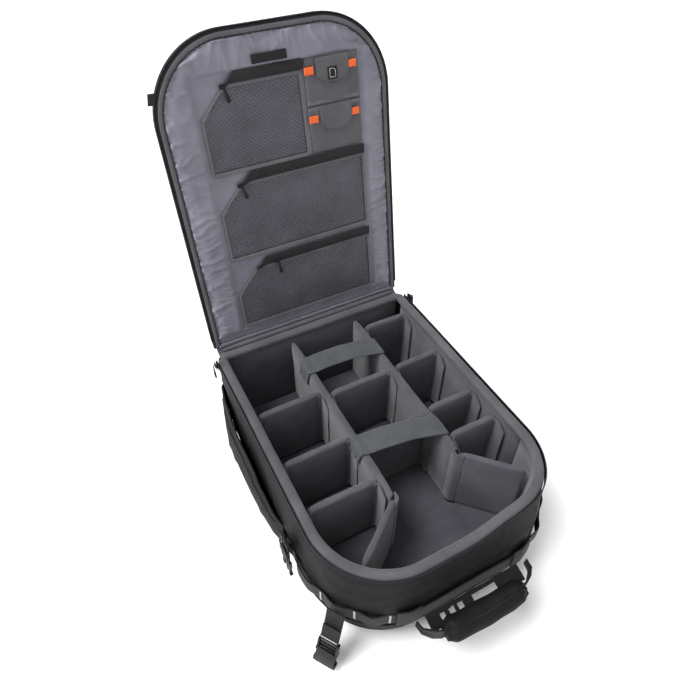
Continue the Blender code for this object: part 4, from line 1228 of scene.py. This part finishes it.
# Webbing round the handle end: a strip sewn down with pale bar tacks, standing off in shallow
# loops between them so that things can be clipped on.
web_cloth = cloth("black_webbing", (0.010, 0.010, 0.011), 0.0019, 0.8, 0.55, 0.03, 0.15, lustre=0.2)
tack_thread = cloth("pale_tack_thread", (0.46, 0.47, 0.48), 0.0006, 0.5, 0.5, 0.2, 0.1)
WEB_LOW, WEB_HIGH = 0.0795, 0.1045
TACKS = (0.262, 0.308, 0.370, 0.415, 0.4560, 0.6700, 0.710, 0.757, 0.819, 0.865)


def web_point(u, v):
    along = TACKS[0] - 0.006 + (TACKS[-1] - TACKS[0] + 0.012) * u
    near = min(abs(along - tack) for tack in TACKS)
    by_handle = abs(along - WHOLE_RUN / 2) < 0.1066
    stand = (0.0012 if by_handle else 0.0045) * smooth(0.0, 0.020, near - 0.002)
    height = WEB_LOW + (WEB_HIGH - WEB_LOW) * v - 0.0012 * math.sin(along * 30)
    return on_wall(along, 0.0012 + stand, height)


web = finish("loop_webbing", patch(260, 10, web_point), web_cloth, "bag", ("daisy_chain",),
             outward=False)
thicken(web, 0.0016, 1.0)
tacks = bmesh.new()
for along in TACKS:
    outward = walk(along)[1]
    across = outward.cross(UPWARD)
    for number in range(14):
        height = WEB_LOW + 0.0025 + number * 0.00155
        made = bmesh.ops.create_cube(tacks, size=1.0)["verts"]
        shape = Matrix((across * 0.0024, outward * 0.0008, Vector((0, 0, 0.0012)))).transposed()
        shift = across * (0.0003 if number % 2 else -0.0003)
        point = on_wall(along, 0.0032, height) + shift
        bmesh.ops.transform(tacks, matrix=Matrix.Translation(point) @ shape.to_4x4(), verts=made)
finish("bar_tacks", tacks, tack_thread, "bag")

# The grab handle: a foam tube in black nylon, closed by a seam along its underside and gathered
# at its ends, with a webbing tail at each end that is sewn to the wall.
PIVOT = Vector((0, -0.2405, 0.097))


GRIP_LENGTH, GRIP_RADIUS = 0.122, 0.0155


def grip_point(u, v):
    turn = 2 * math.pi * v
    end = abs(2 * u - 1)
    size = GRIP_RADIUS * (1 - 0.42 * smooth(0.80, 1.0, end))
    size *= 1 - 0.07 * math.exp(-((v - 0.30) / 0.012) ** 2)
    gather = 0.0012 * math.sin(turn * 7) * smooth(0.72, 0.98, end)
    dent = 0.0012 * ripple(u * 5, math.cos(turn), math.sin(turn))
    out = Vector((0, math.cos(turn), math.sin(turn))) * (size + gather + dent)
    return PIVOT + Vector((GRIP_LENGTH * (u - 0.5), -0.0325 - 0.002 * math.sin(math.pi * u), 0)) + out


grip = patch(60, 40, grip_point)
bmesh.ops.remove_doubles(grip, verts=grip.verts, dist=1e-5)
bmesh.ops.holes_fill(grip, edges=[edge for edge in grip.edges if edge.is_boundary])
grip = finish("grip_pad", grip, nylon, "handle", ("handle_grip",))
plump(grip, 1.0, 0.0008)


def grip_seam(u):
    turn = 2 * math.pi * 0.30
    out = Vector((0, math.cos(turn), math.sin(turn)))
    bow = -0.0325 - 0.002 * math.sin(math.pi * u)
    return PIVOT + Vector((0.106 * (u - 0.5), bow, 0)) + out * 0.0150, Vector((0, 1, 0)), UPWARD


finish("grip_piping", tube(60, 0.0012, grip_seam, 8), piping, "handle")


def yoke_point(u, v):
    """The flat web between the grip and the wall that the grip is sewn to."""
    x = 0.0720 * (2 * u - 1)
    reach = -0.0034 - 0.0208 * v - 0.0010 * math.sin(math.pi * u)
    return PIVOT + Vector((x, reach, 0.0010 - 0.0055 * v + 0.0008 * ripple(u * 9, v * 4, 6.0)))


yoke = patch(120, 20, yoke_point)
holes = ((-0.050, 0.0038), (-0.0365, 0.0038), (-0.0235, 0.0038), (0.014, 0.0190))
open_faces = []
for face in yoke.faces:
    spot = face.calc_center_median() - PIVOT
    if -0.0175 < spot.y < -0.0098 and any(abs(spot.x - x) < half for x, half in holes):
        open_faces.append(face)
bmesh.ops.delete(yoke, geom=open_faces, context="FACES")
yoke = finish("handle_yoke", yoke, web_cloth, "handle", outward=False)
thicken(yoke, 0.0022, 0.0)
for side, sign in (("left", -1), ("right", 1)):
    def tail(u, v):
        route = ((0.050, -0.033), (0.064, -0.032), (0.074, -0.027), (0.0835, -0.018), (0.0855, -0.0065))
        spot = u * (len(route) - 1)
        low = min(int(spot), len(route) - 2)
        share = spot - low
        x = route[low][0] + (route[low + 1][0] - route[low][0]) * share
        y = route[low][1] + (route[low + 1][1] - route[low][1]) * share
        width = 0.0125 - 0.0055 * smooth(0.45, 0.95, u)
        pleat = 0.0012 * math.sin(v * 3 * math.pi) * smooth(0.2, 0.8, u)
        return PIVOT + Vector((sign * (x + pleat), y, width * (2 * v - 1)))
    piece = finish(f"handle_tail_{side}_web", patch(40, 12, tail), web_cloth, "handle",
                   (f"handle_tail_{side}",), outward=False)
    thicken(piece, 0.0022, 0.0)
    anchor_along = SIDE_RUN + CORNER_RUN + END_RUN / 2 + sign * 0.0855

    def anchor(u, v):
        along = anchor_along + 0.030 * (u - 0.5)
        height = 0.077 + 0.036 * v
        lump = 0.00132 * math.exp(-((u - 0.5) / 0.22) ** 2)
        return on_wall(along, 0.0046 + lump, height)

    sewn = finish(f"handle_anchor_{side}", patch(14, 14, anchor), web_cloth, "bag", outward=False)
    thicken(sewn, 0.0016, 1.0)

# Side-release buckles of matt black nylon plastic, moulded, with rounded edges, each on a short
# webbing strap that is folded back over its bar.
plastic = plain("buckle_plastic", (0.009, 0.009, 0.010), {"Specular IOR Level": 0.3, "Roughness": 0.42})
plastic_links = plastic.node_tree.links
grain_place = add_node(plastic, "TexCoord")
grain = add_node(plastic, "TexNoise", {"Scale": 2600.0})
grain_bump = add_node(plastic, "Bump", {"Strength": 0.25, "Distance": 0.0001})
plastic_links.new(grain_place.outputs["Object"], grain.inputs["Vector"])
plastic_links.new(grain.outputs["Fac"], grain_bump.inputs["Height"])
plastic_links.new(grain_bump.outputs["Normal"], plastic.node_tree.nodes["Principled BSDF"].inputs["Normal"])


def socket_half():
    """The socket: a flat sleeve, open at its foot and at both sides, and a ladder at its top."""
    mesh = bmesh.new()
    for deep in (-0.0038, 0.0038):
        bar(mesh, (0.0280, 0.0020, 0.026), (0, deep, -0.0285))
        bar(mesh, (0.0180, 0.0022, 0.004), (0, deep * 1.06, -0.0270))
    for side in (-1, 1):
        bar(mesh, (0.0030, 0.0088, 0.007), (side * 0.0148, 0, -0.0380))
        bar(mesh, (0.0030, 0.0088, 0.006), (side * 0.0140, 0, -0.0175))
        bar(mesh, (0.0030, 0.0080, 0.017), (side * 0.0134, 0, -0.0085))
    for height in (-0.0012, -0.0080, -0.0150):
        bar(mesh, (0.0270, 0.0036, 0.0026), (0, 0, height))
    return mesh


def prong_half():
    """The plug: a ladder at its top, a centre prong and two springy side arms with hooked ends."""
    mesh = bmesh.new()
    for height in (-0.0012, -0.0075, -0.0140):
        bar(mesh, (0.0250, 0.0036, 0.0028), (0, 0, height))
    for side in (-1, 1):
        bar(mesh, (0.0028, 0.0050, 0.0160), (side * 0.0122, 0, -0.0078))
        bar(mesh, (0.0030, 0.0044, 0.0190), (side * 0.0098, 0, -0.0245), -side * 0.07)
        bar(mesh, (0.0058, 0.0046, 0.0070), (side * 0.0108, 0, -0.0355), side * 0.35)
    bar(mesh, (0.0044, 0.0036, 0.0260), (0, 0, -0.0275))
    return mesh


def strap_web_piece(length, slack):
    """Webbing from its sewn top down to the buckle's bar, where it turns back on itself."""
    def point(u, v):
        height = 0.004 - (length + 0.0034) * u
        return Vector((0.0125 * (2 * v - 1), slack * math.sin(math.pi * u) - 0.0006, height))
    return patch(24, 8, point)


corner_spot = Matrix.Translation((-0.16926, -0.1907, 0.096)) @ Matrix.Rotation(math.radians(-55), 4, "Z") \
    @ Matrix.Rotation(math.radians(-21), 4, "X")
side_spot = Matrix.Translation((-0.1925, -0.088, 0.134)) @ Matrix.Rotation(math.radians(-90), 4, "Z")
for name, spot, length, half_made in (
    ("corner", corner_spot, 0.050, socket_half()),
    ("side", side_spot, 0.045, prong_half()),
):
    web = finish(f"{name}_strap_web", strap_web_piece(length, 0.0012), web_cloth, f"{name}_strap",
                 (f"{name}_strap",), turn=spot, outward=False)
    thicken(web, 0.0017, 0.0)
    fold = finish(f"{name}_strap_fold", strap_web_piece(length * 0.38, 0.0004), web_cloth, f"{name}_strap",
                  turn=spot @ Matrix.Translation((0, -0.0024, -length * 0.52)), outward=False)
    thicken(fold, 0.0017, 0.0)
    if name == "corner":
        row = patch(12, 2, lambda u, v: Vector((0.0236 * (u - 0.5), -0.0050, -0.0435 + 0.0012 * v)))
        line = finish("corner_strap_line", row, tack_thread, "corner_strap", turn=spot,
                      outward=False)
        thicken(line, 0.0008, 0.0)
    buckle = finish(f"{name}_buckle_half", half_made, plastic, f"{name}_buckle",
                    (f"{name}_buckle",), turn=spot @ Matrix.Translation((0, 0, -length - 0.001)))
    round_off(buckle, 0.0007, 2)

# A pocket on each side wall: one piece of black nylon, darted so that it stands out, with a bound
# top edge that is lower towards the handle end, and a zip pull on a cord.


def side_pocket_point(start, end, high_end):
    def point(u, v):
        along = start + (end - start) * u
        rise = u if high_end else 1 - u
        top = 0.128 - 0.020 * smooth(0.5, 1.0, 1 - rise)
        height = 0.035 + (top - 0.035) * v
        ease = math.sqrt(max(0.0, 1 - abs(2 * u - 1) ** 2.6))
        belly = 0.018 * ease * (0.12 + 0.88 * math.sin(math.pi * (0.06 + 0.86 * v)) ** 0.6)
        fold = crease(Vector((along, height, 2.0 + high_end)), 0.045, 0.0013) * ease * smooth(0, 0.2, v)
        return on_wall(along, 0.0012 + belly + fold, height)
    return point


for side, start, end, high_end in (
    ("left", 0.004, 0.272, False),
    ("right", WHOLE_RUN - 0.272, WHOLE_RUN - 0.004, True),
):
    shape = side_pocket_point(start, end, high_end)
    pocket = finish(f"side_pocket_{side}_cloth", patch(90, 40, shape), nylon, "bag",
                    (f"side_pocket_{side}",), outward=False)
    thicken(pocket, 0.0014)
    for height, name in ((1.0, "top"), (0.0, "foot")):
        def hem(u):
            point = shape(u, height)
            return point, walk(start + (end - start) * u)[1], UPWARD
        finish(f"side_pocket_{side}_{name}", tube(90, 0.0019, hem, 8), piping, "bag")

    def pocket_zip(share):
        u = 0.06 + 0.88 * share
        outward = walk(start + (end - start) * u)[1]
        point = shape(u, 0.86)
        return point + outward * 0.0004, shape(u + 0.01, 0.86) - point, UPWARD

    finish(f"side_pocket_{side}_coil", coil_teeth(110, pocket_zip), coil, "bag")

# The main zip's two sliders, parked by the hinge: a body with two wings and a bridge, and a pull
# with a moulded grip on its end.


SLIDER_X, PULL_X = 0.1786, 0.1832


def main_slider(sign):
    mesh = bmesh.new()
    x = sign * SLIDER_X
    for size, spot in (
        ((0.0016, 0.0135, 0.0086), (x - sign * 0.0016, 0.200, 0.185)),
        ((0.0016, 0.0120, 0.0070), (x + sign * 0.0010, 0.200, 0.185)),
        ((0.0030, 0.0060, 0.0026), (x, 0.198, 0.185)),
        ((0.0016, 0.0090, 0.0022), (x + sign * 0.0021, 0.200, 0.1858)),
    ):
        bar(mesh, size, spot)
    return mesh


def main_pull(sign):
    mesh = bmesh.new()
    x = sign * PULL_X
    for size, spot in (
        ((0.0012, 0.0052, 0.0016), (x, 0.200, 0.1862)),
        ((0.0012, 0.0013, 0.0100), (x, 0.1978, 0.1815)),
        ((0.0012, 0.0013, 0.0100), (x, 0.2022, 0.1815)),
        ((0.0022, 0.0062, 0.0150), (x, 0.200, 0.1690)),
    ):
        bar(mesh, size, spot)
    for height in (0.1640, 0.1665, 0.1690, 0.1715):
        bar(mesh, (0.0028, 0.0058, 0.0008), (x, 0.200, height))
    return mesh


for side, sign in (("left", -1), ("right", 1)):
    slider = finish(f"main_slider_{side}_body", main_slider(sign), black_metal, f"main_slider_{side}",
                    (f"main_slider_{side}",))
    round_off(slider, 0.0006)
    pull = finish(f"main_pull_{side}_grip", main_pull(sign), plastic, f"main_pull_{side}",
                  (f"main_pull_{side}",))
    round_off(pull, 0.0005)
